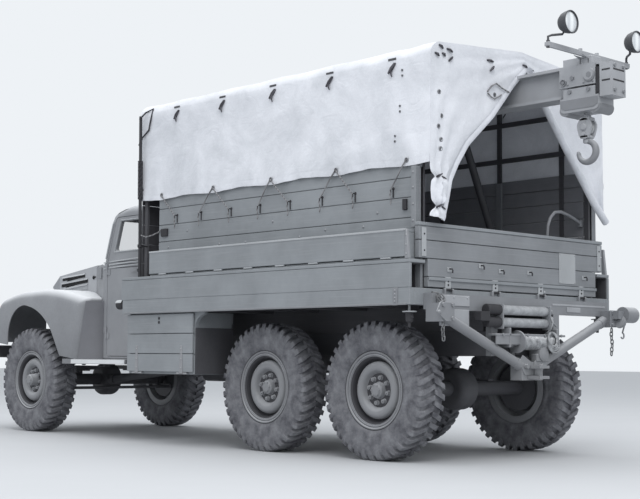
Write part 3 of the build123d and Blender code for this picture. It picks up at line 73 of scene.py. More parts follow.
def make_camera():
    """Camera at the photograph's place, with its focal length."""
    data = bpy.data.cameras.new("photo_camera")
    data.sensor_width = 36
    data.lens = photo_focal / photo_width * data.sensor_width
    camera = bpy.data.objects.new("photo_camera", data)
    bpy.context.collection.objects.link(camera)
    level = math.cos(camera_pitch)
    look = Vector((math.cos(camera_yaw) * level, math.sin(camera_yaw) * level, math.sin(camera_pitch)))
    side = look.cross(Vector((0, 0, 1))).normalized()
    up = side.cross(look)
    right = side * math.cos(camera_roll) + up * math.sin(camera_roll)
    top = up * math.cos(camera_roll) - side * math.sin(camera_roll)
    turn = Matrix((right, top, -look)).transposed().to_4x4()
    camera.matrix_world = Matrix.Translation(camera_place) @ turn
    bpy.context.scene.camera = camera


make_camera()


# Mesh forms. Each adds its shape to a bmesh, so that one piece can hold many.

def board(form, x, y, z, edge=0.002):
    """A sawn board or a plate between its limits on each axis, with eased edges."""
    low = Vector((min(x), min(y), min(z)))
    high = Vector((max(x), max(y), max(z)))
    place = Matrix.Translation((low + high) / 2) @ Matrix.Diagonal((*(high - low), 1))
    made = bmesh.ops.create_cube(form, size=1, matrix=place)
    edges = list({edge_line for vert in made["verts"] for edge_line in vert.link_edges})
    bmesh.ops.bevel(form, geom=edges, offset=edge, segments=1, affect="EDGES")


def bar(form, start, end, radius, end_radius=None, sides=20):
    """A round bar between two points, tapered if it has an end radius."""
    start, end = Vector(start), Vector(end)
    run = end - start
    turn = run.to_track_quat("Z", "Y").to_matrix().to_4x4()
    place = Matrix.Translation((start + end) / 2) @ turn
    tip = radius if end_radius is None else end_radius
    bmesh.ops.create_cone(form, cap_ends=True, segments=sides, radius1=radius, radius2=tip,
                          depth=run.length, matrix=place)


def turned(form, profile, centre, axis, steps=72):
    """A lathe-turned skin. Profile: (radius, distance along the axis from the centre)."""
    axis = Vector(axis).normalized()
    turn = axis.to_track_quat("Z", "Y").to_matrix()
    rings = []
    for step in range(steps):
        angle = 2 * math.pi * step / steps
        spoke = turn @ Vector((math.cos(angle), math.sin(angle), 0))
        rings.append([form.verts.new(Vector(centre) + spoke * radius + axis * along)
                      for radius, along in profile])
    for step in range(steps):
        here, there = rings[step], rings[(step + 1) % steps]
        for index in range(len(profile) - 1):
            form.faces.new((here[index], there[index], there[index + 1], here[index + 1]))


def pipe(form, path, radius, sides=10, closed=False):
    """A bent pipe or rope along a path of points, with one radius or one for each point."""
    path = [Vector(point) for point in path]
    count = len(path)
    radii = radius if isinstance(radius, list) else [radius] * count
    rings = []
    side = None
    for index, point in enumerate(path):
        before = path[index - 1] if index or closed else point
        after = path[(index + 1) % count] if index < count - 1 or closed else point
        along = (after - before).normalized()
        if side is None:
            side = along.orthogonal().normalized()
        side = (side - along * side.dot(along)).normalized()
        across = along.cross(side)
        rings.append([form.verts.new(point + radii[index] * (side * math.cos(2 * math.pi * k / sides)
                                                             + across * math.sin(2 * math.pi * k / sides)))
                      for k in range(sides)])
    for index in range(count if closed else count - 1):
        here, there = rings[index], rings[(index + 1) % count]
        for k in range(sides):
            form.faces.new((here[k], here[(k + 1) % sides], there[(k + 1) % sides], there[k]))
    if not closed:
        form.faces.new(rings[0])
        form.faces.new(rings[-1])


def cut_plate(form, outline, normal, span, edge=0.0):
    """A plate cut to an outline. Outline: points in the plane across the normal axis, in axis order."""
    first, second = [axis for axis in (0, 1, 2) if axis != normal]
    ends = []
    for level in span:
        ring = []
        for a, b in outline:
            point = [0.0, 0.0, 0.0]
            point[first], point[second], point[normal] = a, b, level
            ring.append(form.verts.new(point))
        ends.append(ring)
    made = [form.faces.new(ends[0]), form.faces.new(ends[1])]
    count = len(outline)
    for k in range(count):
        made.append(form.faces.new((ends[0][k], ends[0][(k + 1) % count],
                                    ends[1][(k + 1) % count], ends[1][k])))
    if edge:
        lines = list({line for face in made for line in face.edges})
        bmesh.ops.bevel(form, geom=lines, offset=edge, segments=1, affect="EDGES")


def dome(form, centre, radius, axis, depth, steps=32, rings=6):
    """A shallow dome, such as a lens or a rivet head, that bulges by a depth along an axis."""
    profile = [(radius * math.cos(k * math.pi / 2 / rings), depth * math.sin(k * math.pi / 2 / rings))
               for k in range(rings + 1)]
    turned(form, profile, centre, axis, steps)


def hex_nut(form, centre, across, height, axis):
    """A hexagon nut or bolt head, standing on a face."""
    foot = Vector(centre)
    bar(form, foot, foot + Vector(axis).normalized() * height, across / math.sqrt(3), sides=6)


def arc(centre, radius, start, end, steps, plane):
    """Points of an arc, angles in degrees, in the plane of two unit vectors."""
    first, second = Vector(plane[0]), Vector(plane[1])
    angles = [math.radians(start + (end - start) * k / steps) for k in range(steps + 1)]
    return [Vector(centre) + radius * (first * math.cos(a) + second * math.sin(a)) for a in angles]


def studs(form, places, axis, radius, height, steps=14, rings=3):
    """Rivet or bolt heads of one size, at several places on a face."""
    for place in places:
        dome(form, place, radius, axis, height, steps, rings)


def mesh_of(form, name):
    """A form's mesh, with its faces turned outwards."""
    bmesh.ops.recalc_face_normals(form, faces=form.faces)
    mesh = bpy.data.meshes.new(name)
    form.to_mesh(mesh)
    form.free()
    return mesh


def finish_mesh(mesh, material, crease):
    """Gives a mesh one material, and smooth faces but for edges sharper than the crease."""
    for polygon in mesh.polygons:
        polygon.use_smooth = True
    mesh.set_sharp_from_angle(angle=math.radians(crease))
    mesh.materials.clear()
    mesh.materials.append(material)
    return mesh


def put_mesh(mesh, name, body, replaces=(), place=None):
    """Puts a mesh in the scene as a piece that rides on a body."""
    piece = bpy.data.objects.new(name, mesh)
    bpy.context.collection.objects.link(piece)
    if place is not None:
        piece.matrix_world = place
    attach(piece, body)
    if replaces:
        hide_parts(*replaces)
    return piece


def put_piece(form, name, material, body, replaces=(), crease=35):
    """Turns a form into a piece that rides on a body."""
    bmesh.ops.remove_doubles(form, verts=form.verts, dist=1e-5)
    return put_mesh(finish_mesh(mesh_of(form, name), material, crease), name, body, replaces)


# Finishes. Each small maker returns the socket that the next one takes.

def linear(code):
    """Linear colour of an sRGB hex value."""
    channels = [int(code[k:k + 2], 16) / 255 for k in (1, 3, 5)]
    return (*[c / 12.92 if c <= 0.04045 else ((c + 0.055) / 1.055) ** 2.4 for c in channels], 1)


def add_node(tree, kind, links=None, values=None, **settings):
    """Adds a node with its settings, its input values and its links."""
    node = tree.nodes.new(kind)
    for name, value in settings.items():
        setattr(node, name, value)
    for name, value in (values or {}).items():
        node.inputs[name].default_value = value
    for name, socket in (links or {}).items():
        tree.links.new(socket, node.inputs[name])
    return node


def new_finish(name, roughness, metallic=0.0, ior=1.5):
    """A material with its shader, and the place on the truck in metres."""
    material = bpy.data.materials.new(name)
    material.use_nodes = True
    tree = material.node_tree
    shader = tree.nodes["Principled BSDF"]
    shader.inputs["Roughness"].default_value = roughness
    shader.inputs["Metallic"].default_value = metallic
    shader.inputs["IOR"].default_value = ior
    place = add_node(tree, "ShaderNodeTexCoord").outputs["Object"]
    return material, tree, shader, place


def mottle(tree, place, size, detail, roughness=0.5, distortion=0.0):
    """Patches of about a size in metres."""
    values = {"Scale": 1 / size, "Detail": detail, "Roughness": roughness, "Distortion": distortion}
    return add_node(tree, "ShaderNodeTexNoise", {"Vector": place}, values).outputs["Fac"]


def spread(tree, value, start, end, low, high):
    """The stretch of a value from start to end, laid out from low to high."""
    values = {"From Min": start, "From Max": end, "To Min": low, "To Max": high}
    return add_node(tree, "ShaderNodeMapRange", {"Value": value}, values).outputs["Result"]


def two_tones(tree, shade, dark, light, start=0.0, end=1.0):
    """A ramp from a dark colour to a light one."""
    ramp = add_node(tree, "ShaderNodeValToRGB", {"Fac": shade})
    for stop, position, code in zip(ramp.color_ramp.elements, (start, end), (dark, light)):
        stop.position = position
        stop.color = linear(code)
    return ramp.outputs["Color"]


def shaded(tree, code, amount):
    """A colour made darker or lighter by an amount."""
    return add_node(tree, "ShaderNodeVectorMath", {"Scale": amount}, {0: linear(code)[:3]},
                    operation="SCALE").outputs["Vector"]


def laid_over(tree, under, code, amount):
    """A colour laid over another by an amount."""
    return add_node(tree, "ShaderNodeMix", {0: amount, 6: under}, {7: linear(code)},
                    data_type="RGBA").outputs[2]


def raise_surface(tree, shader, height, strength, depth, under=None):
    """Fine relief in metres, over a finer one where there is one."""
    links = {"Height": height} if under is None else {"Height": height, "Normal": under}
    bump = add_node(tree, "ShaderNodeBump", links, {"Strength": strength, "Distance": depth})
    tree.links.new(bump.outputs["Normal"], shader.inputs["Normal"])
    return bump.outputs["Normal"]


def service_enamel(name, body_colour, dust_colour, dust_top, roughness=0.55, painted_top_light=0.45):
    """Flat service enamel, brushed on pressed steel: an even coat with faint patches where it has chalked,
    a slight brush drag, road dust that thins out upwards, and painted light, paler where it faces up."""
    material, tree, shader, place = new_finish(name, roughness)
    patch_size = 0.32
    speck_size = 0.025
    brush_drag = 0.006
    chalking = spread(tree, mottle(tree, place, patch_size, 7, 0.62), 0.35, 0.68, 0.90, 1.08)
    coat = shaded(tree, body_colour, chalking)
    height = add_node(tree, "ShaderNodeSeparateXYZ", {"Vector": place}).outputs["Z"]
    specks = mottle(tree, place, speck_size, 5, 0.7)
    splash = add_node(tree, "ShaderNodeMath", {0: specks, 2: height}, {1: -0.45}, operation="MULTIPLY_ADD")
    dusty = laid_over(tree, coat, dust_colour, spread(tree, splash.outputs["Value"], dust_top, 0.0, 0.0,
                                                      0.75))
    normal = add_node(tree, "ShaderNodeNewGeometry").outputs["Normal"]
    facing = add_node(tree, "ShaderNodeSeparateXYZ", {"Vector": normal}).outputs["Z"]
    # painted light: faces that look up are mixed towards a pale grey, as if lit from above
    painted_top_lit = laid_over(tree, dusty, "#D4D6D9", spread(tree, facing, 0.25, 0.95, 0.0, painted_top_light))
    tree.links.new(painted_top_lit, shader.inputs["Base Color"])
    raise_surface(tree, shader, mottle(tree, place, brush_drag, 3), 0.12, 0.0015)
    return material


def painted_timber(name, body_colour, worn_colour, grain_axis, roughness=0.68):
    """Service paint on planed softwood boards, brushed along the grain: the grain shows through as fine
    ridges, and the coat is thinner and paler along some of them."""
    material, tree, shader, place = new_finish(name, roughness)
    grain_width = 0.009
    grain_length = 0.45
    patch_size = 0.38
    stretch = [1 / grain_width] * 3
    stretch[grain_axis] = 1 / grain_length
    along = add_node(tree, "ShaderNodeMapping", {"Vector": place}, {"Scale": stretch}).outputs["Vector"]
    grain = mottle(tree, along, 1.0, 5, 0.55)
    chalking = spread(tree, mottle(tree, place, patch_size, 8, 0.6), 0.34, 0.68, 0.86, 1.08)
    coat = shaded(tree, body_colour, chalking)
    worn = laid_over(tree, coat, worn_colour, spread(tree, grain, 0.52, 0.78, 0.0, 0.55))
    tree.links.new(worn, shader.inputs["Base Color"])
    raise_surface(tree, shader, grain, 0.35, 0.0015)
    return material


def proofed_canvas():
    """Waterproofed cotton canvas, bleached by the sun: a plain weave with slubs, drawn as coarse as it
    shows, faint stains, and long soft creases where it is stretched."""
    material, tree, shader, place = new_finish("proofed_cotton_canvas", 0.88)
    stain_size = 0.5
    slub_size = 0.010
    thread_pitch = 0.004
    crease_size = 0.16
    shader.inputs["Sheen Weight"].default_value = 0.15
    shader.inputs["Sheen Roughness"].default_value = 0.5
    tone = two_tones(tree, mottle(tree, place, stain_size, 9, 0.66, 0.4), "#C8CBD1", "#E4E6EC", 0.30, 0.62)
    flecks = spread(tree, mottle(tree, place, slub_size, 4, 0.75), 0.3, 0.7, 0.93, 1.03)
    cloth = add_node(tree, "ShaderNodeVectorMath", {0: tone, "Scale": flecks}, operation="SCALE")
    tree.links.new(cloth.outputs["Vector"], shader.inputs["Base Color"])
    weave = add_node(tree, "ShaderNodeTexWave", {"Vector": place},
                     {"Scale": 1 / (thread_pitch * 20), "Distortion": 2.0, "Detail": 2},
                     wave_type="BANDS", bands_direction="Z")
    fine = raise_surface(tree, shader, weave.outputs["Fac"], 0.10, 0.001)
    raise_surface(tree, shader, mottle(tree, place, crease_size, 5, 0.5, 1.2), 0.35, 0.02, fine)
    through = add_node(tree, "ShaderNodeBsdfTranslucent")
    through.inputs["Color"].default_value = linear("#B9BCC2")
    lit = add_node(tree, "ShaderNodeMixShader",
                   {1: shader.outputs["BSDF"], 2: through.outputs["BSDF"]}, {"Fac": 0.07})
    tree.links.new(lit.outputs["Shader"], tree.nodes["Material Output"].inputs["Surface"])
    return material


def road_rubber():
    """Cross-country tyre rubber: carbon black that has greyed, dusty on the side walls and in the tread."""
    material, tree, shader, place = new_finish("road_rubber", 0.86)
    dust_size = 0.11
    grit_size = 0.006
    tone = two_tones(tree, mottle(tree, place, dust_size, 8, 0.68), "#4E4E54", "#86878B", 0.34, 0.70)
    tree.links.new(tone, shader.inputs["Base Color"])
    raise_surface(tree, shader, mottle(tree, place, grit_size, 4), 0.25, 0.001)
    return material


def bare_steel(name, bright_colour, rust_colour, roughness=0.42):
    """Steel that a rope or a chain rubs bright, with dull oxide where nothing touches it."""
    material, tree, shader, place = new_finish(name, roughness, metallic=0.55)
    patch_size = 0.05
    scratch_size = 0.003
    tone = two_tones(tree, mottle(tree, place, patch_size, 8, 0.7), rust_colour, bright_colour, 0.36, 0.60)
    tree.links.new(tone, shader.inputs["Base Color"])
    raise_surface(tree, shader, mottle(tree, place, scratch_size, 2), 0.08, 0.0005)
    return material


def laid_rope(name, groove_colour, strand_colour):
    """Three-strand rope, weathered: the lay shows as slanting ridges about a diameter apart."""
    material, tree, shader, place = new_finish(name, 0.92)
    lay = 0.012
    strands = add_node(tree, "ShaderNodeTexWave", {"Vector": place},
                       {"Scale": 1 / (lay * 6), "Distortion": 1.5, "Detail": 2}, bands_direction="DIAGONAL")
    tone = two_tones(tree, strands.outputs["Fac"], groove_colour, strand_colour)
    tree.links.new(tone, shader.inputs["Base Color"])
    raise_surface(tree, shader, strands.outputs["Fac"], 0.5, 0.002)
    return material


def sheet_glass():
    """Laminated sheet glass, clear, with a thin film of dust."""
    material, tree, shader, place = new_finish("laminated_sheet_glass", 0.04, ior=1.52)
    smear_size = 0.2
    shader.inputs["Transmission Weight"].default_value = 1.0
    film = spread(tree, mottle(tree, place, smear_size, 6), 0.4, 0.8, 0.0, 0.05)
    tree.links.new(film, shader.inputs["Roughness"])
    return material


def lamp_lens():
    """Pressed clear glass over a silvered bowl: pale, glossy, with fine vertical flutes."""
    material, tree, shader, place = new_finish("fluted_lamp_glass", 0.08, ior=1.5)
    flute_pitch = 0.012
    flutes = add_node(tree, "ShaderNodeTexWave", {"Vector": place},
                      {"Scale": 1 / (flute_pitch * 20), "Distortion": 0.0}, bands_direction="Y")
    tree.links.new(two_tones(tree, flutes.outputs["Fac"], "#C9CDD1", "#F2F5F6"),
                   shader.inputs["Base Color"])
    raise_surface(tree, shader, flutes.outputs["Fac"], 0.4, 0.002)
    shader.inputs["Coat Weight"].default_value = 0.6
    return material


def leathercloth():
    """Nitrocellulose leathercloth: an embossed grain of small cells with a low, worn gloss."""
    material, tree, shader, place = new_finish("leathercloth", 0.5)
    cell_size = 0.004
    cells = add_node(tree, "ShaderNodeTexVoronoi", {"Vector": place}, {"Scale": 1 / cell_size})
    tree.links.new(two_tones(tree, cells.outputs["Distance"], "#4A4A4C", "#333336"),
                   shader.inputs["Base Color"])
    raise_surface(tree, shader, cells.outputs["Distance"], 0.4, 0.001)
    return material


def black_moulding(name, colour, roughness):
    """Moulded black ebonite: smooth, with a faint mottle from handling."""
    material, tree, shader, place = new_finish(name, roughness)
    hand_size = 0.03
    handled = spread(tree, mottle(tree, place, hand_size, 5), 0.3, 0.7, 0.8, 1.25)
    tree.links.new(shaded(tree, colour, handled), shader.inputs["Base Color"])
    return material


# Enamel on steel: name, body colour, dust colour, top of the dust, roughness, painted light on upward faces
cab_enamel = service_enamel("cab_enamel_on_steel", "#898B8F", "#8E8E91", 1.1, 0.55, 0.75)
# painted light: the wings take a paler copy of the cab's enamel with full top light; their dark dust tone
# makes them darker towards the bottom
wing_painted_light_enamel = service_enamel("wing_painted_light_enamel", "#96989C", "#4E4F53", 1.45, 0.55, 1.0)
# painted light: the bonnet, its sides and louvre hoods take a paler copy of the cab's enamel, as if
# brightly lit
bonnet_painted_light_enamel = service_enamel("bonnet_enamel_on_steel", "#A0A2A6", "#A0A2A6", 0.3)
# painted shade: the aprons between the wings and the cab take a darker copy of the cab's enamel
apron_painted_shade_enamel = service_enamel("apron_painted_shade_enamel", "#6A6B70", "#77777A", 1.0, 0.6, 0.2)
plate_enamel = service_enamel("plate_enamel", "#A2A5A8", "#A2A5A8", 0.3, 0.45)
# painted highlight: near-white enamel for the running boards' edges, as if catching the light
edge_painted_highlight_enamel = service_enamel("edge_painted_highlight_enamel", "#D8DADC", "#C8CACC", 0.7)
# painted shade: dark frame enamel, darkened further for the shade under the truck; the work lamps' stalks
# and bowls share it
frame_shaded_enamel = service_enamel("frame_enamel_on_steel", "#434448", "#5C5C60", 1.0, 0.62, 0.1)
gear_enamel = service_enamel("gear_enamel_on_steel", "#7D7F83", "#8B8B8C", 0.9, 0.5)
beam_enamel = service_enamel("beam_enamel_on_steel", "#9A9CA0", "#9A9CA0", 0.3, 0.5)
wheel_enamel = service_enamel("wheel_enamel_on_steel", "#7E8084", "#86878A", 1.0, 0.48)
# painted shade: a near-black enamel darkened as shade; it also makes the painted shade on the wheels and
# the painted shadow lines on the cab
dark_enamel = service_enamel("underbody_enamel", "#2C2C30", "#434347", 0.9, 0.7, 0.0)
# painted shade: near-black enamel for the louvres' open slots and the bay behind, standing for the shade
# inside the bonnet; the side catch shares it
slot_black_and_shade = service_enamel("black_enamel_and_painted_shade", "#0E0E10", "#151517", 0.4, 0.9, 0.0)
# Timber: name, body colour, worn colour, axis of the grain
plank_paint = painted_timber("painted_softwood_lengthwise", "#868A8E", "#94979A", 0)
cross_paint = painted_timber("painted_softwood_crosswise", "#808387", "#8D8F92", 1)
# painted shade: a dark softwood tone for boards and holes in shade: floor bearers, box insides, locker
# ends, slits, the tilt's hoops, the wall behind the cab
dark_timber = painted_timber("softwood_painted_shade", "#4B4B4F", "#5A5A5E", 0)
lining_timber = painted_timber("oiled_softwood", "#818287", "#8D8E92", 0)
# Steel: name, bright colour, rust colour, roughness
worn_steel = bare_steel("rubbed_steel", "#B4B6B8", "#76777A")
chain_steel = bare_steel("chain_steel", "#8A8B8D", "#505154", 0.5)
roller_steel = bare_steel("roller_steel", "#B2B4B7", "#989A9D", 0.6)
# Rope: name, colour in the grooves, colour of the strands
rope_fibre = laid_rope("manila_rope", "#5E5D60", "#8A8A8C")
tarred_cord = laid_rope("tarred_hemp_cord", "#2E2D31", "#46454A")
strap_web = laid_rope("tarred_cotton_strap", "#38373C", "#55545A")
canvas_cloth = proofed_canvas()
tyre_rubber = road_rubber()
window_glass = sheet_glass()
lens_glass = lamp_lens()
seat_cloth = leathercloth()
ebonite = black_moulding("ebonite", "#1E1E21", 0.3)


# Sizes read from the frame

def limits(node):
    """Limits of a node's box on each axis."""
    low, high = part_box(node)
    return (low.x, high.x), (low.y, high.y), (low.z, high.z)


deck_x, deck_y, deck_z = limits("body_floor")
deck_top = deck_z[1]
deck_half = deck_y[1]
deck_foot = deck_top - 0.121
canvas_x, canvas_y, canvas_z = limits("canvas_tilt")
canvas_half = canvas_y[1] - 0.001
canvas_thick = 0.012
board_face = canvas_y[1] - canvas_thick
board_back = board_face - 0.025
board_x = (at(-0.520), at(2.560))
board_top = 2.305
hoop_stations = (-0.545, -0.294, 0.368, 1.032, 1.677, 2.309, 2.790)
hem_height = 2.148
flap_hem = 1.770
ridge_height = canvas_z[1]
shoulder_height = ridge_height - 0.084
eave_height = shoulder_height - 0.067
shoulder_half = 1.006
sides = (1, -1)
rearward = Vector((-1, 0, 0))


def stack_boards(form, x, y, seams, gap=0.004, edge=0.003):
    """Boards laid edge to edge between the heights of their seams."""
    for low, high in zip(seams[:-1], seams[1:]):
        board(form, x, y, (low + gap / 2, high - gap / 2), edge)


# Load floor: planks along the truck on cross bearers, with a rail along each side

def make_floor():
    """Planks between their rails, on cross bearers and two long ones, with an iron strip on each side."""
    planks = bmesh.new()
    plank_count = 14
    plank_half = deck_half - 0.048
    plank_width = 2 * plank_half / plank_count
    for k in range(plank_count):
        left = -plank_half + k * plank_width
        board(planks, (deck_x[0] + 0.048, deck_x[1] - 0.048), (left + 0.002, left + plank_width - 0.002),
              (deck_top - 0.032, deck_top))
    put_piece(planks, "floor_planks", plank_paint, "truck", ["body_floor"])
    rails = bmesh.new()
    for side in sides:
        board(rails, deck_x, (side * plank_half, side * deck_half), (deck_foot, deck_top), 0.004)
    for x in ((deck_x[0], deck_x[0] + 0.048), (deck_x[1] - 0.048, deck_x[1])):
        board(rails, x, (-plank_half, plank_half), (deck_foot, deck_top), 0.004)
    put_piece(rails, "floor_rails", plank_paint, "truck")
    bearers = bmesh.new()
    for station in (-0.560, 0.050, 0.620, 1.190, 1.760, 2.300, 2.800):
        board(bearers, (at(station) - 0.032, at(station) + 0.032), (-plank_half, plank_half),
              (deck_foot, deck_top - 0.032), 0.004)
    for side in sides:
        board(bearers, deck_x, (side * 0.345, side * 0.420), (deck_z[0], deck_top - 0.032), 0.004)
    put_piece(bearers, "floor_bearers", dark_timber, "truck")
    straps = bmesh.new()
    strap_x = at(-0.477)
    for side in sides:
        board(straps, (deck_x[0] + 0.03, deck_x[1] - 0.03), (side * deck_half, side * (deck_half + 0.005)),
              (deck_foot - 0.002, deck_foot + 0.012), 0.0015)
        face = side * (deck_half + 0.006)
        board(straps, (strap_x - 0.024, strap_x + 0.024), (side * deck_half, face),
              (deck_foot - 0.004, deck_top), 0.002)
        studs(straps, [(strap_x, face, deck_foot + z) for z in (0.022, 0.048, 0.074, 0.100)],
              (0, side, 0), 0.008, 0.006)
    put_piece(straps, "floor_straps", gear_enamel, "truck")


make_floor()


# Side boards and the front board, their posts, bolts and lashing hooks

board_seams = (deck_top, 1.430, 1.602, 1.774, 1.922, 2.066, 2.190, board_top)
hook_stations = (2.294, 1.957, 1.555, 1.186, 0.822, 0.454, 0.094, -0.299)
hook_height = 2.0
rear_post = (at(-0.566), at(-0.522))
batten_face = 1.112
# Bolts on the boards: station, height
bolt_places = ((0.418, 1.741), (0.008, 1.736), (-0.137, 1.830), (0.714, 1.705), (1.369, 1.705),
               (1.707, 1.708), (-0.408, 1.860), (2.150, 1.850), (1.032, 1.850), (2.420, 1.720))


def make_side_boards():
    """Planked sides and front with their posts, bolt heads and lashing hooks."""
    boards = bmesh.new()
    for side in sides:
        stack_boards(boards, board_x, (side * board_back, side * board_face), board_seams)
    stack_boards(boards, (board_x[1] - 0.025, board_x[1]), (0.002 - board_back, board_back - 0.002),
                 board_seams)
    put_piece(boards, "side_boards_planked", plank_paint, "truck", ["side_boards"])
    posts = bmesh.new()
    for side in sides:
        board(posts, rear_post, (side * board_back, side * board_face), (deck_top, 2.29), 0.004)
        board(posts, rear_post, (side * board_back, side * batten_face), (1.693, 2.136), 0.004)
        for station in (0.368, 1.677):
            board(posts, (at(station) - 0.03, at(station) + 0.03),
                  (side * board_back, side * (board_back - 0.03)), (deck_top, board_top - 0.01), 0.004)
    put_piece(posts, "side_posts", cross_paint, "truck")
    fixings = bmesh.new()
    for side in sides:
        studs(fixings, [(at(station), side * board_face, height) for station, height in bolt_places],
              (0, side, 0), 0.010, 0.007, 16)
        studs(fixings, [(at(-0.544), side * batten_face, height) for height in (1.74, 1.86, 1.98, 2.09)],
              (0, side, 0), 0.009, 0.006, 16)
    put_piece(fixings, "board_bolts", gear_enamel, "truck")
    hooks = bmesh.new()
    for side in sides:
        for station in hook_stations:
            x = at(station)
            board(hooks, (x - 0.007, x + 0.007), (side * board_face, side * (board_face + 0.004)),
                  (1.930, hook_height - 0.010), 0.0012)
            dome(hooks, (x, side * board_face, hook_height - 0.004), 0.013, (0, side, 0), 0.006, 16, 3)
            pipe(hooks, [(x, side * (board_face + 0.004), hook_height - 0.004),
                         (x, side * (board_face + 0.024), hook_height - 0.006),
                         (x, side * (board_face + 0.032), hook_height - 0.016),
                         (x, side * (board_face + 0.030), hook_height - 0.034)], 0.005, 8)
    put_piece(hooks, "lashing_hooks", dark_enamel, "truck")


make_side_boards()


# Tailboard: boards across, a capping rail, hinge straps, cleats and a blank plate

_, tail_y, tail_z = limits("tailboard")
tail_face = deck_x[0]
tail_inner = tail_face + 0.042
tail_step = 1.472
tail_top = tail_z[1]
# Cleats on the tailboard: y, height
cleat_places = ((0.802, 1.401), (0.445, 1.444), (0.210, 1.419), (-0.137, 1.423), (-0.861, 1.418))


def make_tailboard():
    """Two wide and two narrower boards with a capping, hinge plates, cleats and a blank plate."""
    boards = bmesh.new()
    low_half = 1.030
    depth = (tail_face, tail_inner)
    stack_boards(boards, depth, (-low_half, low_half), (deck_top + 0.008, 1.340, tail_step), 0.005)
    stack_boards(boards, depth, (tail_y[0] + 0.001, tail_y[1] - 0.001),
                 (tail_step, 1.602, tail_top - 0.026), 0.005)
    put_piece(boards, "tailboard_planked", cross_paint, "tailboard", ["tailboard"])
    rails = bmesh.new()
    board(rails, (tail_face - 0.004, tail_inner + 0.002), tail_y, (tail_top - 0.026, tail_top), 0.004)
    board(rails, (tail_face - 0.012, tail_face), (-low_half, low_half), (1.316, 1.340), 0.003)
    put_piece(rails, "tailboard_rails", plank_paint, "tailboard")
    ironwork = bmesh.new()
    tail_plates = bmesh.new()
    pin_x = tail_face - 0.010
    pin_z = deck_top - 0.004
    for y in (-0.820, -0.280, 0.280, 0.820):
        bar(ironwork, (pin_x, y - 0.034, pin_z), (pin_x, y + 0.034, pin_z), 0.009)
        board(tail_plates, (tail_face - 0.008, tail_face), (y - 0.030, y + 0.030), (pin_z, pin_z + 0.092),
              0.002)
        studs(ironwork, [(tail_face - 0.008, y, pin_z + z) for z in (0.035, 0.062)], rearward, 0.008, 0.006)
    for y, height in cleat_places:
        board(tail_plates, (tail_face - 0.006, tail_face), (y - 0.022, y + 0.022),
              (height - 0.016, height + 0.016), 0.002)
        pipe(ironwork, [(tail_face - 0.004, y, height + 0.006), (tail_face - 0.030, y, height + 0.004),
                        (tail_face - 0.036, y, height - 0.008), (tail_face - 0.034, y, height - 0.026)],
             0.0055, 8)
    for side in sides:
        board(tail_plates, (tail_face - 0.006, tail_face), (side * 1.052, side * 1.100),
              (tail_step + 0.012, tail_top - 0.040), 0.002)
        studs(ironwork, [(tail_face - 0.006, side * 1.075, height)
                         for height in (tail_step + 0.055, tail_top - 0.085)], rearward, 0.007, 0.006, 16)
    dome(tail_plates, (tail_face, -0.337, 1.281), 0.011, rearward, 0.006, 18, 4)
    put_piece(tail_plates, "tailboard_plates", plate_enamel, "tailboard")
    put_piece(ironwork, "tailboard_ironwork", dark_enamel, "tailboard")
    plate = bmesh.new()
    board(plate, (tail_face - 0.005, tail_face), (-0.745, -0.526), (1.359, 1.601), 0.002)
    put_piece(plate, "blank_plate", plate_enamel, "tailboard")
    rivets = bmesh.new()
    corners = [(tail_face - 0.005, y, height) for y in (-0.735, -0.536) for height in (1.370, 1.590)]
    studs(rivets, corners, rearward, 0.005, 0.004, 12)
    put_piece(rivets, "plate_rivets", worn_steel, "tailboard")


make_tailboard()


# Lower side boxes, the upper locker on the left, and its flap

def make_side_boxes():
    """Open-ended boxes along both sides, their insides lined dark as painted shade, with a strip at each
    rear corner.
    """
    boxes = bmesh.new()
    box_x, box_y, box_z = limits("side_boxes")
    wall = 0.025
    for side in sides:
        board(boxes, box_x, (side * (board_face + 0.001), side * box_y[1]), (box_z[1] - wall, box_z[1]),
              0.004)
        board(boxes, box_x, (side * (box_y[1] - wall), side * box_y[1]),
              (box_z[0], box_z[1] - wall - 0.002), 0.004)
        board(boxes, (box_x[1] - wall, box_x[1]), (side * (board_face + 0.001), side * (box_y[1] - wall)),
              (box_z[0], box_z[1] - wall), 0.004)
    put_piece(boxes, "side_boxes_boarded", plank_paint, "truck", ["side_boxes"])
    # painted shade: dark boards inside the boxes
    lining = bmesh.new()
    for side in sides:
        outer = box_y[1] - wall - 0.001
        board(lining, (box_x[0] + 0.012, box_x[1] - wall), (side * (outer - 0.004), side * outer),
              (box_z[0], box_z[1] - wall), 0.001)
        board(lining, (box_x[0] + 0.012, box_x[1] - wall),
              (side * (board_face + 0.003), side * (outer - 0.005)),
              (box_z[1] - wall - 0.006, box_z[1] - wall - 0.001), 0.001)
        board(lining, (board_x[0], board_x[1]), (side * (board_face + 0.001), side * (board_face + 0.004)),
              (box_z[0], box_z[1] - wall - 0.008), 0.001)
        board(lining, (deck_x[0] + 0.050, box_x[1] - wall),
              (side * (board_face + 0.004), side * (outer - 0.005)),
              (deck_top + 0.0005, deck_top + 0.004), 0.001)
    put_piece(lining, "side_box_lining", dark_timber, "truck")
    corner = bmesh.new()
    for side in sides:
        cut_plate(corner, [(at(-0.600), 1.463), (at(-0.560), 1.463), (at(-0.560), 1.672),
                           (at(-0.578), 1.672)], 1,
                  sorted((side * (box_y[1] - 0.030), side * (box_y[1] - 0.006))), 0.002)
        studs(corner, [(at(-0.574), side * (box_y[1] - 0.006), height) for height in (1.495, 1.560, 1.630)],
              (0, side, 0), 0.007, 0.005)
    put_piece(corner, "box_corner_strips", cab_enamel, "truck")


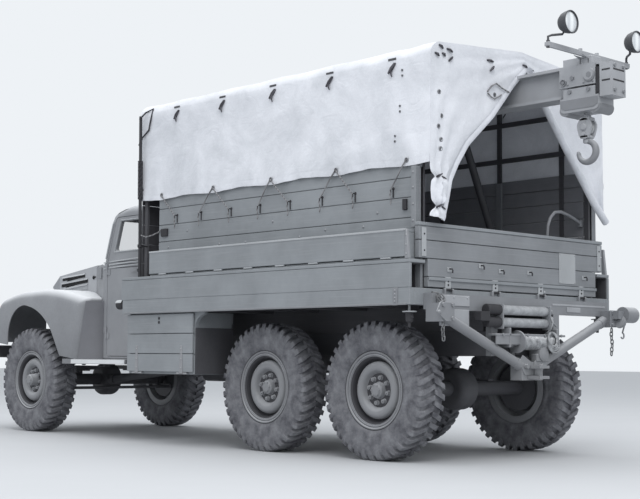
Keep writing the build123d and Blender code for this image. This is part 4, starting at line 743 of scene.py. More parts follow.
def make_side_locker():
    """The long locker on the left box: a boarded shell, its flap, capping and hinges."""
    shell = bmesh.new()
    locker_x, locker_y, locker_z = limits("side_locker")
    flap_x, flap_y, flap_z = limits("locker_flap")
    wall = 0.020
    back = (locker_y[0], locker_y[0] + 0.006)
    inner = (locker_y[0], flap_y[0] - 0.006)
    board(shell, locker_x, inner, (locker_z[0], locker_z[0] + 0.014))
    board(shell, locker_x, inner, (locker_z[1] - wall, locker_z[1]), 0.004)
    board(shell, locker_x, back, (locker_z[0] + 0.014, locker_z[1] - wall))
    for x in ((locker_x[0], locker_x[0] + wall), (locker_x[1] - wall, locker_x[1])):
        board(shell, x, inner, (locker_z[0] + 0.014, locker_z[1] - wall), 0.003)
    board(shell, locker_x, (inner[1] - 0.010, flap_y[1] - 0.0145), (locker_z[0], locker_z[0] + 0.012))
    put_piece(shell, "side_locker_boarded", plank_paint, "truck", ["side_locker"])
    flap = bmesh.new()
    board(flap, flap_x, flap_y, (locker_z[0] + 0.018, flap_z[1]), 0.004)
    put_piece(flap, "locker_flap_board", plank_paint, "locker_flap", ["locker_flap"])
    capping = bmesh.new()
    board(capping, flap_x, (flap_y[0] + 0.001, flap_y[1] + 0.004), (flap_z[1] - 0.012, flap_z[1] + 0.003),
          0.002)
    put_piece(capping, "locker_capping", plate_enamel, "locker_flap")
    hinges = bmesh.new()
    pin_y = flap_y[1] - 0.007
    pin_z = locker_z[0] + 0.013
    hinge_count = 8
    for k in range(hinge_count):
        x = flap_x[0] + (k + 0.5) * (flap_x[1] - flap_x[0]) / hinge_count
        bar(hinges, (x - 0.05, pin_y, pin_z), (x + 0.05, pin_y, pin_z), 0.0070, sides=14)
    put_piece(hinges, "locker_hinges", plate_enamel, "locker_flap")


make_side_boxes()
make_side_locker()


# Under-floor lockers: boarded shells, open outwards, with drop doors on strap hinges

chest_x, _, chest_z = limits("floor_lockers")
chest_rear = at(1.867)
chest_seams = (chest_z[0], 0.78, 0.95, chest_z[1])
door_x, door_y, door_z = limits("chest_door_left")


def make_floor_lockers():
    """A boarded shell under each side, with a curved gusset, dark ends as painted shade, and its drop door.
    """
    shells = bmesh.new()
    wall = 0.020
    inner_half = 0.760
    outer_half = door_y[0] - 0.006
    for side in sides:
        across = (side * inner_half, side * outer_half)
        stack_boards(shells, (chest_rear, chest_x[1]), (side * inner_half, side * (inner_half + wall)),
                     chest_seams)
        for z in ((chest_z[0], chest_z[0] + wall), (chest_z[1] - wall, chest_z[1])):
            board(shells, (chest_rear + wall, chest_x[1] - wall), across, z)
        for x in ((chest_rear, chest_rear + wall), (chest_x[1] - wall, chest_x[1])):
            stack_boards(shells, x, across, chest_seams)
        cut_plate(shells, [(chest_rear, 1.010), (chest_rear, chest_z[1]),
                           (chest_rear - 0.124, chest_z[1]), (chest_rear - 0.122, 1.118),
                           (chest_rear - 0.075, 1.104), (chest_rear - 0.035, 1.080),
                           (chest_rear - 0.012, 1.050)], 1,
                  sorted((side * (outer_half - 0.034), side * outer_half)))
        for station in (chest_rear + 0.150, chest_x[1] - 0.150):
            board(shells, (station - 0.070, station + 0.070),
                  (side * (outer_half - 0.002), side * (door_y[1] - 0.0165)),
                  (chest_z[0], chest_z[0] + 0.016), 0.001)
    put_piece(shells, "floor_lockers_boarded", plank_paint, "truck", ["floor_lockers"])
    # painted shade: dark boards over each shell's end faces
    ends = bmesh.new()
    for side in sides:
        for x in ((chest_rear - 0.004, chest_rear - 0.0005), (chest_x[1] + 0.0005, chest_x[1] + 0.004)):
            board(ends, x, (side * (inner_half + 0.004), side * (outer_half - 0.004)),
                  (chest_z[0] + 0.004, 1.004), 0.001)
    put_piece(ends, "floor_locker_ends", dark_timber, "truck")
    for name, side in (("left", 1), ("right", -1)):
        panel = bmesh.new()
        stack_boards(panel, (door_x[0], door_x[1]), (side * door_y[0], side * door_y[1]),
                     (door_z[0] + 0.018, 0.786, 0.958, door_z[1]), 0.005)
        put_piece(panel, f"chest_door_{name}_boarded", plank_paint, f"chest_door_{name}",
                  [f"chest_door_{name}"])
        iron = bmesh.new()
        pin_y = side * (door_y[1] - 0.008)
        pin_z = chest_z[0] + 0.008
        face = side * door_y[1]
        proud = side * (door_y[1] + 0.005)
        for station in (chest_rear + 0.150, chest_x[1] - 0.150):
            bar(iron, (station - 0.070, pin_y, pin_z), (station + 0.070, pin_y, pin_z), 0.008, sides=14)
            cut_plate(iron, [(station - 0.024, pin_z), (station + 0.024, pin_z),
                             (station + 0.012, pin_z + 0.235), (station - 0.012, pin_z + 0.235)], 1,
                      sorted((face, proud)), 0.0012)
            studs(iron, [(station, proud, pin_z + rise) for rise in (0.045, 0.120, 0.205)], (0, side, 0),
                  0.007, 0.005)
        put_piece(iron, f"chest_door_{name}_straps", cab_enamel, f"chest_door_{name}")
        latch = bmesh.new()
        middle_x = (door_x[0] + door_x[1]) / 2
        studs(latch, [(middle_x, face, door_z[1] - fall) for fall in (0.038, 0.072)], (0, side, 0), 0.013,
              0.009, 18, 4)
        put_piece(latch, f"chest_door_{name}_latch", dark_enamel, f"chest_door_{name}")


make_floor_lockers()


# Tyres: a moulded casing with forty swept bars to each shoulder, the same mesh on every wheel of a side

wheel_centres = {name: middle(f"tyre_{name}") for name in
                 ("front_left", "front_right", "middle_left", "middle_right", "rear_left", "rear_right")}
tyre_radius = 0.520
bars_a_side = 40
bar_reach = 0.13     # from the middle of the tread to where a bar ends
# Casing's half section from the middle of the tread to the bead: radius, distance from the middle
casing_half = ((0.4970, 0.000), (0.4968, 0.060), (0.4930, 0.100), (0.4830, 0.1180), (0.4600, 0.1270),
               (0.4300, 0.1290), (0.3900, 0.1275), (0.3560, 0.1235), (0.3500, 0.1215), (0.3440, 0.1225),
               (0.3200, 0.1170), (0.3020, 0.1100), (0.2940, 0.0995), (0.2560, 0.0990))
# Bar's section on its way out: distance from the middle, top radius, foot radius, half width
bar_stations = ((0.000, 0.5195, 0.490, 0.0165), (0.050, 0.5200, 0.490, 0.0180),
                (0.098, 0.5190, 0.486, 0.0195), (0.116, 0.5120, 0.478, 0.0205),
                (0.1285, 0.4900, 0.466, 0.0205), (0.1315, 0.4640, 0.452, 0.0180),
                (0.1300, 0.4460, 0.440, 0.0140))


def tyre_mesh(sweep):
    """Mesh of one tyre about its centre, its bars swept along the tread by an angle."""
    form = bmesh.new()
    profile = [(radius, -along) for radius, along in reversed(casing_half)] + list(casing_half[1:])
    turned(form, profile, (0, 0, 0), (0, 1, 0), 120)
    for turn in range(2 * bars_a_side):
        side = 1 if turn % 2 else -1
        start = math.pi * turn / bars_a_side
        sections = []
        for along, top, foot, half in bar_stations:
            lead = start + sweep * along / bar_reach
            ring = []
            for radius, shift in ((foot, -1.25), (top, -1.0), (top, 1.0), (foot, 1.25)):
                angle = lead + shift * half / tyre_radius
                inward = 0.010 if radius == foot and along > 0.11 else 0.0
                ring.append(form.verts.new((radius * math.cos(angle), side * (along - inward),
                                            radius * math.sin(angle))))
            sections.append(ring)
        for near, far in zip(sections[:-1], sections[1:]):
            for k in range(3):
                form.faces.new((near[k], near[k + 1], far[k + 1], far[k]))
        form.faces.new(sections[0])
        form.faces.new(sections[-1])
    return finish_mesh(mesh_of(form, "bar_tread_tyre"), tyre_rubber, 38)


def make_tyres():
    """Tyres for both sides of the truck, their bars swept to mirror each other."""
    sweep = math.radians(6)
    meshes = {"left": tyre_mesh(sweep), "right": tyre_mesh(-sweep)}
    for wheel, centre in wheel_centres.items():
        put_mesh(meshes[wheel.split("_")[1]], f"bar_tread_tyre_{wheel}", f"wheel_{wheel}",
                 [f"tyre_{wheel}"], Matrix.Translation(centre))


make_tyres()


# Wheels: a flat-base rim with its side ring and lock ring, a dished disc, hub, studs and brake drum

stud_count = 8
stud_ring = 0.096
front_track_half = 0.822
rear_track_half = 0.845
front_hub = 0.128     # reach of the hub cap from the wheel's middle
rear_hub = 0.092
# Skin from the hub cap outwards over the disc and round the rim to the drum: radius, distance outwards
disc_profile = ((0.128, 0.041), (0.132, 0.046), (0.139, 0.064), (0.148, 0.077), (0.160, 0.084),
                (0.174, 0.086), (0.190, 0.083), (0.203, 0.074), (0.212, 0.062), (0.217, 0.048),
                (0.219, 0.034), (0.226, 0.030), (0.234, 0.036), (0.2375, 0.060), (0.2420, 0.084),
                (0.2510, 0.094), (0.2580, 0.0965), (0.2600, 0.1010), (0.2660, 0.1030), (0.2700, 0.1000),
                (0.2720, 0.0965), (0.2760, 0.0965), (0.2780, 0.1020), (0.2840, 0.1080), (0.2900, 0.1070),
                (0.2915, 0.1010), (0.2900, 0.0990), (0.2540, 0.0990), (0.2540, -0.0990),
                (0.2900, -0.0990), (0.2910, -0.1040), (0.2870, -0.1060), (0.2360, -0.1060),
                (0.2340, 0.0260), (0.1900, 0.0300), (0.1900, -0.0600), (0.0325, -0.0600))


def wheel_form(cap_face):
    """Mesh of a wheel about its centre, with its outer side towards +Y, from the reach of its hub cap."""
    form = bmesh.new()
    hub = [(0.001, cap_face), (0.030, cap_face), (0.040, cap_face - 0.003), (0.0465, cap_face - 0.012),
           (0.0500, cap_face - 0.016), (0.0560, cap_face - 0.018), (0.0600, 0.052), (0.0640, 0.041)]
    turned(form, hub + list(disc_profile), (0, 0, 0), (0, 1, 0), 96)
    for k in range(stud_count):
        angle = 2 * math.pi * k / stud_count + 0.2
        spot = Vector((math.cos(angle) * stud_ring, 0.041, math.sin(angle) * stud_ring))
        bar(form, spot, spot + Vector((0, 0.006, 0)), 0.021, 0.018, 18)
        hex_nut(form, spot + Vector((0, 0.005, 0)), 0.030, 0.018, (0, 1, 0))
        bar(form, spot + Vector((0, 0.02, 0)), spot + Vector((0, 0.032, 0)), 0.008, 0.006, 12)
    for k in range(6):
        angle = 2 * math.pi * k / 6
        spot = Vector((math.cos(angle) * 0.038, cap_face - 0.004, math.sin(angle) * 0.038))
        hex_nut(form, spot, 0.012, 0.007, (0, 1, 0))
    return finish_mesh(mesh_of(form, "disc_wheel"), wheel_enamel, 32)


def shadow_form():
    """Mesh of painted shade on a wheel: dark skins in the rim's gutter and on its edge, in the dish and
    over the hand hole.
    """
    form = bmesh.new()
    turned(form, [(0.2178, 0.0485), (0.2198, 0.0350), (0.2262, 0.0312), (0.2334, 0.0368), (0.2367, 0.0605),
                  (0.2412, 0.0846), (0.2505, 0.0950), (0.2520, 0.0951)], (0, 0, 0), (0, 1, 0), 96)
    turned(form, [(0.0660, 0.0418), (0.1270, 0.0418)], (0, 0, 0), (0, 1, 0), 72)
    turned(form, [(0.2915, 0.1020), (0.2990, 0.1062), (0.3010, 0.1062)], (0, 0, 0), (0, 1, 0), 96)
    board(form, (-0.028, 0.028), (0.038, 0.0445), (-0.122, -0.112), 0.002)
    # painted shade: all these skins are dark enamel laid just proud of the wheel
    mesh = mesh_of(form, "disc_painted_shade")
    mesh.materials.append(dark_enamel)
    return mesh


def make_wheels():
    """Wheels with their painted shade skins: the front hubs reach farther out than the rear ones."""
    gap = shadow_form()
    meshes = {"front": wheel_form(front_hub), "rear": wheel_form(rear_hub)}
    meshes["middle"] = meshes["rear"]
    for wheel, centre in wheel_centres.items():
        axle, side = wheel.split("_")
        track = front_track_half if axle == "front" else rear_track_half
        turn = Matrix.Identity(4) if side == "left" else Matrix.Rotation(math.pi, 4, "Z")
        place = Matrix.Translation((centre.x, track if side == "left" else -track, centre.z)) @ turn
        body = f"wheel_{wheel}"
        put_mesh(meshes[axle], f"disc_wheel_{wheel}", body, [body], place)
        put_mesh(gap, f"disc_painted_shade_{wheel}", body, (), place)


make_wheels()


# Canvas tilt: one sheet over the hoops, with a front panel, and rear panels tied back from the opening

ring_steps = 110
side_steps = 15
corner_steps = 6
roof_steps = 18
# Opening's left edge upwards to its apex above the beam, and its right edge: y, height
opening_left = ((0.922, 1.742), (0.872, 1.906), (0.838, 2.043), (0.769, 2.162), (0.648, 2.323),
                (0.361, 2.566), (0.100, 2.850), (-0.055, 2.982))
opening_right = ((-1.060, 1.880), (-0.894, 2.025), (-0.504, 2.446), (-0.208, 2.775), (-0.055, 2.982))
roll_radius = 0.030
bundle_ties = (2.060, 1.842)
bundle_top = 2.130
bundle_fade = 0.08
rolled_foot = 1.900
# The cover laid flat: hem to hem over the hoops; the roof with the front panel and the two rear flaps
fold_width = 0.045
eyelet_stations = (2.508, 1.775, 1.033, 0.282, -0.454)
eyelet_height = 2.190


def hoop_slack(x):
    """How far between two hoops a place is: 0 over a hoop, 1 midway."""
    station = x - rear_axle_x
    for near, far in zip(hoop_stations[:-1], hoop_stations[1:]):
        if near <= station <= far:
            return math.sin(math.pi * (station - near) / (far - near))
    return 0.0


def half_section():
    """The tilt's half section from the hem to the ridge: (y, height)."""
    top_of_side = eave_height - 0.030
    points = [(canvas_half, hem_height + (top_of_side - hem_height) * k / side_steps)
              for k in range(side_steps + 1)]
    roof_start = (shoulder_half - 0.035, shoulder_height + 0.003)
    handles = (points[-1], (canvas_half, eave_height + 0.010),
               (shoulder_half + 0.012, shoulder_height - 0.004), roof_start)
    for k in range(1, corner_steps + 1):
        t = k / corner_steps
        weights = ((1 - t) ** 3, 3 * t * (1 - t) ** 2, 3 * t * t * (1 - t), t ** 3)
        points.append(tuple(sum(w * handle[axis] for w, handle in zip(weights, handles))
                            for axis in (0, 1)))
    for k in range(1, roof_steps + 1):
        t = k / roof_steps
        points.append((roof_start[0] * (1 - t), roof_start[1] + (ridge_height - roof_start[1]) * t))
    return points


def slack_cloth(x, y, z):
    """A point of the tilt moved by the sag between hoops, the pull of the lashings and small wrinkles."""
    slack = hoop_slack(x)
    side = 1 if y > 0 else -1
    if z >= eave_height - 0.02:
        across = abs(y) / shoulder_half
        drop = 0.020 * slack * (0.35 + 0.65 * math.sin(math.pi * min(across, 1.0)))
        ripple = 0.004 * noise.noise(Vector((x * 5, y * 3, 1.0)))
        return Vector((x, y, z - drop + min(ripple, 0.001)))
    rise = (z - hem_height) / (eave_height - hem_height)
    pull = 0.010 * slack * math.sin(math.pi * min(max(rise, 0.0), 1.0)) if rise > 0.25 else 0.0
    fold = 0.5 + 0.5 * math.sin(x * 2 * math.pi / 0.19 + 2.5 * noise.noise(Vector((x * 1.7, 0.0, side))))
    loose = 0.011 * fold * (1 - rise) ** 2
    pucker = 0.006 * noise.noise(Vector((x * 7, z * 7, side * 3.0)))
    lift = 0.0
    if rise < 0.2:
        nearest = min(abs(x - at(station)) for station in eyelet_stations)
        lift = 0.020 * min(nearest / 0.35, 1.0) * (1 - rise / 0.2)
    return Vector((x, y + side * (loose - pull + max(pucker, -0.002)), z + lift))


def along_line(points, share):
    """The point at a share of the length of a line of points."""
    lengths = [(Vector(b) - Vector(a)).length for a, b in zip(points[:-1], points[1:])]
    left = share * sum(lengths)
    for start, end, length in zip(points[:-1], points[1:], lengths):
        if left <= length:
            return Vector(start).lerp(Vector(end), left / length)
        left -= length
    return Vector(points[-1])


def line_shares(points):
    """Each point's share of the length of its line."""
    run = [0.0]
    for start, end in zip(points[:-1], points[1:]):
        run.append(run[-1] + (Vector(end) - Vector(start)).length)
    return [length / run[-1] for length in run]


def join_rows(form, rows):
    """Faces between rows of points, which may share their ends."""
    made = [[form.verts.new(point) for point in row] for row in rows]
    for near, far in zip(made[:-1], made[1:]):
        for k in range(len(near) - 1):
            form.faces.new((near[k], near[k + 1], far[k + 1], far[k]))


def bundle_shape(spot, side, t):
    """How far the bundled lower end of a rear panel stands out and is drawn in by its two ties."""
    if spot.z > bundle_top or side < 0:
        return 0.0, 0.0
    low = min((bundle_top - spot.z) / bundle_fade, 1.0)
    tied = max(math.exp(-((spot.z - height) / 0.024) ** 2) for height in bundle_ties)
    crumple = noise.noise(Vector((spot.y * 16, spot.z * 13, 2.0)))
    crumple += 0.5 * noise.noise(Vector((spot.y * 37, spot.z * 29, 7.0)))
    lump = low * (0.030 + 0.034 * crumple) * math.sin(math.pi * min(max(t, 0.04), 0.96)) * (1 - 0.8 * tied)
    tuck = low * (t - 0.5) * (0.016 + 0.10 * tied + 0.05 * noise.noise(Vector((spot.z * 11, 4.0, 1.0))))
    return max(lump, -0.002), tuck


def rear_panel(form, ring, opening, foot_height, rolled):
    """One rear panel from the tilt's end ring to the opening's edge, which is folded back or rolled up."""
    side = 1 if ring[0].y > 0 else -1
    below = [Vector((ring[0].x, ring[0].y, foot_height + (ring[0].z - foot_height) * k / 26))
             for k in range(26)]
    outer = below + list(ring)
    edge = [Vector((ring[0].x, y, z)) for y, z in opening]
    rows = []
    for point, share in zip(outer, line_shares(outer)):
        inner = along_line(edge, share)
        outward = (point - inner).normalized() if (point - inner).length > 1e-4 else Vector((0, side, 0))
        row = []
        if rolled:
            for k in range(12, 0, -1):
                angle = 1.75 * math.pi * k / 12
                swell = roll_radius * (1 + 0.10 * noise.noise(Vector((share * 14, k, 0.0))))
                row.append(inner + rearward * swell * (1 - math.cos(angle))
                           - outward * swell * math.sin(angle))
        else:
            for reach, proud in ((fold_width, 0.010), (fold_width * 0.5, 0.013), (0.006, 0.012),
                                 (-0.002, 0.006)):
                row.append(inner + outward * reach - Vector((proud, 0, 0)))
        for k in range(13):
            t = k / 12
            gather = 0.018 * math.sin(math.pi * t) * math.sin(share * 9 + t * 22) * (1 - 0.7 * share)
            spot = inner.lerp(point, t)
            lump, tuck = bundle_shape(spot, side, t)
            row.append(spot - Vector((max(gather, -0.004) + lump, tuck, 0)))
        rows.append(row)
    join_rows(form, rows)


def make_tilt():
    """The cover: rings of cloth over the hoops, two rear panels, the front panel and the doubled hems."""
    form = bmesh.new()
    half = half_section()
    section = half + [(-y, z) for y, z in reversed(half[:-1])]
    rings = []
    for step in range(ring_steps + 1):
        x = canvas_x[0] + 0.002 + (canvas_x[1] - canvas_x[0] - 0.004) * step / ring_steps
        rings.append([slack_cloth(x, y, z) for y, z in section])
    join_rows(form, rings)
    ridge = len(half) - 1
    rear, front = rings[0], rings[-1]
    rear_panel(form, rear[:ridge + 1], opening_left, flap_hem, False)
    rear_panel(form, list(reversed(rear[ridge:])), opening_right, rolled_foot, True)
    rows = []
    for k in range(ridge + 1):
        left, right = front[k], front[-1 - k]
        row = []
        for m in range(41):
            wrinkle = 0.004 * noise.noise(Vector((m * 0.4, k * 0.3, 5.0))) * math.sin(math.pi * m / 40)
            row.append(left.lerp(right, m / 40) + Vector((wrinkle, 0, 0)))
        rows.append(row)
    join_rows(form, rows)
    hem = []
    for side in (0, -1):
        outward = Vector((0, 1 if side == 0 else -1, 0))
        edge = [ring[side] for ring in rings]
        hem.append([[point + outward * 0.004 + Vector((0, 0, 0.045)) for point in edge],
                    [point + outward * 0.005 + Vector((0, 0, 0.022)) for point in edge],
                    [point + outward * 0.004 - Vector((0, 0, 0.003)) for point in edge],
                    edge])
    for rows in hem:
        join_rows(form, rows)
    bmesh.ops.remove_doubles(form, verts=form.verts, dist=2e-4)
    area = sum(face.calc_area() for face in form.faces)
    tilt = put_piece(form, "canvas_cover", canvas_cloth, "truck", ["canvas_tilt"], 50)
    return tilt


tilt_cloth = make_tilt()
tilt_faces = BVHTree.FromPolygons([vert.co for vert in tilt_cloth.data.vertices],
                                  [face.vertices for face in tilt_cloth.data.polygons])


# Lashings: eyelets along the hem with ropes to the hooks, and straps through slits at the hoops

lacing_table = (
    # eyelet station, stations of the hooks that its rope goes to
    (2.508, (2.294,)),
    (1.775, (1.957, 1.555)),
    (1.033, (1.186, 0.822)),
    (0.282, (0.454, 0.094)),
    (-0.454, (-0.299,)),
)
strap_stations = (2.309, 1.677, 1.032, 0.368, -0.294)
slit_height = 2.958
seam_eyelets = ((-0.394, 2.862), (-0.394, 2.822), (-0.369, 2.600), (-0.369, 2.560), (-0.323, 2.383),
                (-0.323, 2.343))
rear_eyelets = ((0.975, 2.675), (0.946, 2.504), (0.985, 2.423), (0.952, 2.330), (0.960, 2.262),
                (0.337, 2.745))
# Toggles on the rear: y and height of the middle, reach and rise of the left end from it
toggle_table = ((0.958, 3.008, 0.020, 0.012), (0.862, 2.996, 0.030, 0.008), (0.850, 2.934, 0.022, -0.018),
                (0.925, 2.955, 0.016, 0.010), (1.000, 2.945, 0.022, 0.008), (0.395, 2.994, 0.034, 0.002),
                (0.380, 2.936, 0.020, -0.020), (-0.020, 3.018, 0.018, 0.010),
                (-0.110, 2.990, 0.018, -0.012))
# Loops of cord on the rear: radius of the cord, then y and height of its points
cord_loops = ((0.0055, ((0.437, 2.752), (0.395, 2.800), (0.337, 2.829), (0.260, 2.806), (0.190, 2.780))),
              (0.0050, ((0.430, 2.742), (0.392, 2.722), (0.350, 2.708), (0.270, 2.752))))
# A tie round the bundled flap: y and rise of its points
tie_path = ((1.040, 0.004), (1.010, -0.006), (0.985, 0.006), (0.960, 0.000), (0.940, -0.008),
            (0.925, -0.016))


def cloth_spot(start, toward, proud):
    """The place where a line from a point meets the tilt, just proud of the cloth."""
    toward = Vector(toward)
    found = tilt_faces.ray_cast(Vector(start), toward)[0]
    return (found if found is not None else Vector(start)) - toward * proud


def on_side(side, station, height, proud=0.002):
    """A place on the cloth of one side."""
    return cloth_spot((at(station), side * deck_half, height), (0, -side, 0), proud)


def on_rear(y, height, proud=0.002):
    """A place on the cloth of the rear panels."""
    return cloth_spot((canvas_x[0] - 0.08, y, height), (1, 0, 0), proud)


def eyelet(rings, holes, spot, axis, size=1.0):
    """A pressed brass eyelet and the dark hole in it."""
    turned(rings, [(0.0105 * size, 0.0005), (0.0120 * size, 0.0030), (0.0150 * size, 0.0035),
                   (0.0180 * size, 0.0010), (0.0185 * size, -0.0020)], spot, axis, 20)
    dome(holes, spot - Vector(axis) * 0.0005, 0.0112 * size, axis, 0.0010, 16, 2)


def make_lashings():
    """Eyelets with ropes to the hooks, straps through slits, toggles on the rear, and the bundle's ties."""
    rings = bmesh.new()
    holes = bmesh.new()
    ropes = bmesh.new()
    straps = bmesh.new()
    for side in sides:
        outward = Vector((0, side, 0))
        for station, hooks in lacing_table:
            spot = on_side(side, station, eyelet_height)
            eyelet(rings, holes, spot, outward, 1.15)
            for hook in hooks:
                hang = Vector((at(hook), side * (board_face + 0.030), hook_height - 0.016))
                hem = spot.lerp(hang, 0.28)
                hem.y = side * (abs(spot.y) + 0.010)
                pipe(ropes, [spot - outward * 0.004, spot + outward * 0.006, hem,
                             hem.lerp(hang, 0.55) - outward * 0.002, hang], 0.0052, 8)
                tail = [hang, hang + Vector((0.004, side * 0.004, -0.030)),
                        hang + Vector((-0.006, side * 0.002, -0.075)), hang + Vector((0.002, 0, -0.105))]
                pipe(ropes, tail, 0.0048, 8)
        for station in strap_stations:
            slit = on_side(side, station, slit_height, 0.003)
            board(holes, (slit.x - 0.040, slit.x + 0.040), (slit.y - 0.003, slit.y + 0.003),
                  (slit.z - 0.008, slit.z + 0.008), 0.002)
            high = on_side(side, station - 0.032, slit_height - 0.036, 0.007)
            knot = on_side(side, station - 0.004, slit_height - 0.072, 0.013)
            low = on_side(side, station + 0.030, slit_height - 0.104, 0.012)
            pipe(straps, [high - outward * 0.006, high, knot, low], [0.006, 0.010, 0.014, 0.007], 10)
            pipe(straps, [knot, knot + Vector((0.006, side * 0.004, -0.030)),
                          knot + Vector((-0.004, 0, -0.062))], [0.009, 0.007, 0.005], 8)
        for station, height in seam_eyelets:
            eyelet(rings, holes, on_side(side, station, height), outward, 0.55)
    for y, height in rear_eyelets:
        eyelet(rings, holes, on_rear(y, height), rearward, 1.0)
    for y, height, reach, rise in toggle_table:
        near = on_rear(y + reach, height + rise, 0.006)
        far = on_rear(y - reach, height - rise, 0.008)
        pipe(straps, [near, near.lerp(far, 0.5) + Vector((-0.006, 0, 0.002)), far], [0.006, 0.010, 0.006],
             8)
    for radius, places in cord_loops:
        pipe(ropes, [on_rear(y, height, 0.010) for y, height in places], radius, 8)
    for height in bundle_ties:
        tie = [on_rear(y, height + rise, 0.006) for y, rise in tie_path]
        pipe(straps, tie, [0.005, 0.008, 0.009, 0.008, 0.006, 0.004], 8)
    put_piece(rings, "tilt_eyelets", gear_enamel, "truck")
    put_piece(holes, "tilt_slits", dark_timber, "truck")
    put_piece(ropes, "lacing_ropes", rope_fibre, "truck")
    put_piece(straps, "hoop_straps", strap_web, "truck")


make_lashings()


# Tilt pole at the front left corner, with the rope's end made fast to it

def make_tilt_pole():
    """The pole at the front left corner with its brackets, and the ropes that are made fast to it."""
    pole = bmesh.new()
    y = canvas_half + 0.040
    foot = Vector((at(2.765), y, deck_top + 0.004))
    head = Vector((at(2.795), y, 2.930))
    bar(pole, foot, head, 0.016, 0.014, 16)
    board(pole, (foot.x - 0.032, foot.x + 0.032), (y - 0.032, y + 0.032), (deck_top, deck_top + 0.010))
    for height in (1.750, 2.260):
        here = foot.lerp(head, (height - foot.z) / (head.z - foot.z))
        turned(pole, [(0.0180, -0.014), (0.0225, -0.012), (0.0225, 0.012), (0.0180, 0.014)], here,
               (0, 0, 1), 20)
        board(pole, (here.x - 0.010, here.x + 0.010), (board_back, y - 0.012),
              (height - 0.006, height + 0.006))
    for station, width, low, high in ((2.467, 0.045, 1.820, 1.888), (-0.421, 0.020, 1.830, 1.911)):
        for side in sides:
            board(pole, (at(station) - width, at(station) + width),
                  (side * board_face, side * (board_face + 0.020)), (low, high), 0.004)
    put_piece(pole, "tilt_pole", dark_enamel, "truck")
    cord = bmesh.new()
    top = head + Vector((-0.006, 0.018, -0.030))
    line = [top, on_side(1, 2.760, 2.962, 0.016), on_side(1, 2.668, 2.990, 0.014),
            on_side(1, 2.690, 2.880, 0.012), on_side(1, 2.708, 2.800, 0.012),
            on_side(1, 2.795, 2.738, 0.018)]
    line.append(foot.lerp(head, 0.84) + Vector((0, 0.018, 0)))
    pipe(cord, line, 0.0075, 8)
    pole_line = foot.lerp(head, (1.850 - foot.z) / (head.z - foot.z))
    side_rope = bmesh.new()
    pipe(side_rope, [pole_line, Vector((at(2.700), y - 0.010, 1.826)),
                     Vector((at(2.620), y - 0.020, 1.838)),
                     Vector((at(2.560), board_face + 0.008, 1.862)),
                     Vector((at(2.505), board_face + 0.016, 1.880))], 0.0060, 8)
    put_piece(side_rope, "side_rope", rope_fibre, "truck")
    for turn in range(26):
        height = 2.180 + 0.0135 * turn
        share = (height - foot.z) / (head.z - foot.z)
        here = foot.lerp(head, share)
        turned(cord, [(0.0185, -0.006), (0.0240, -0.003), (0.0240, 0.003), (0.0185, 0.006)], here,
               (0.1, 0, 1), 14)
    put_piece(cord, "pole_rope", tarred_cord, "truck")


make_tilt_pole()


# Bent tube inside the tailboard, and the lining boards of the load space

def make_inside():
    """The bent tube inside the tailboard and the boards that line the load space."""
    tube = bmesh.new()
    x = at(-0.500)
    path = [(x, -0.530, deck_top + 0.002), (x, -0.530, 1.740), (x, -0.542, 1.830), (x, -0.575, 1.895),
            (x, -0.635, 1.945), (x, -0.720, 1.955), (x, -0.820, 1.935), (x, -0.920, 1.905),
            (x, -0.985, 1.880)]
    pipe(tube, path, 0.013, 12)
    turned(tube, [(0.014, 0), (0.034, 0.001), (0.034, 0.008), (0.014, 0.012)], (x, -0.530, deck_top),
           (0, 0, 1), 20)
    board(tube, (x - 0.016, x + 0.016), (-1.0, -0.970), (1.850, 1.905), 0.003)
    put_piece(tube, "ladder_tube", gear_enamel, "truck")
    lining = bmesh.new()
    for side in sides:
        stack_boards(lining, (board_x[0] + 0.010, board_x[1] - 0.030),
                     (side * (board_back - 0.012), side * (board_back - 0.001)), board_seams)
    stack_boards(lining, (board_x[1] - 0.040, board_x[1] - 0.027),
                 (0.020 - board_back, board_back - 0.020), board_seams)
    put_piece(lining, "load_space_lining", lining_timber, "truck")


make_inside()


# Rear beam and its gear: corner fittings, struts' ends, rollers and winch

roller_x = at(-0.728)
roller_left, roller_right = 0.361, -0.190
roller_table = ((1.122, 0.037), (1.030, 0.036))   # height, radius
drum_z = 0.888
frame_rear = at(-0.770)
beam_face = at(-0.690)
plate_rear = at(-0.802)


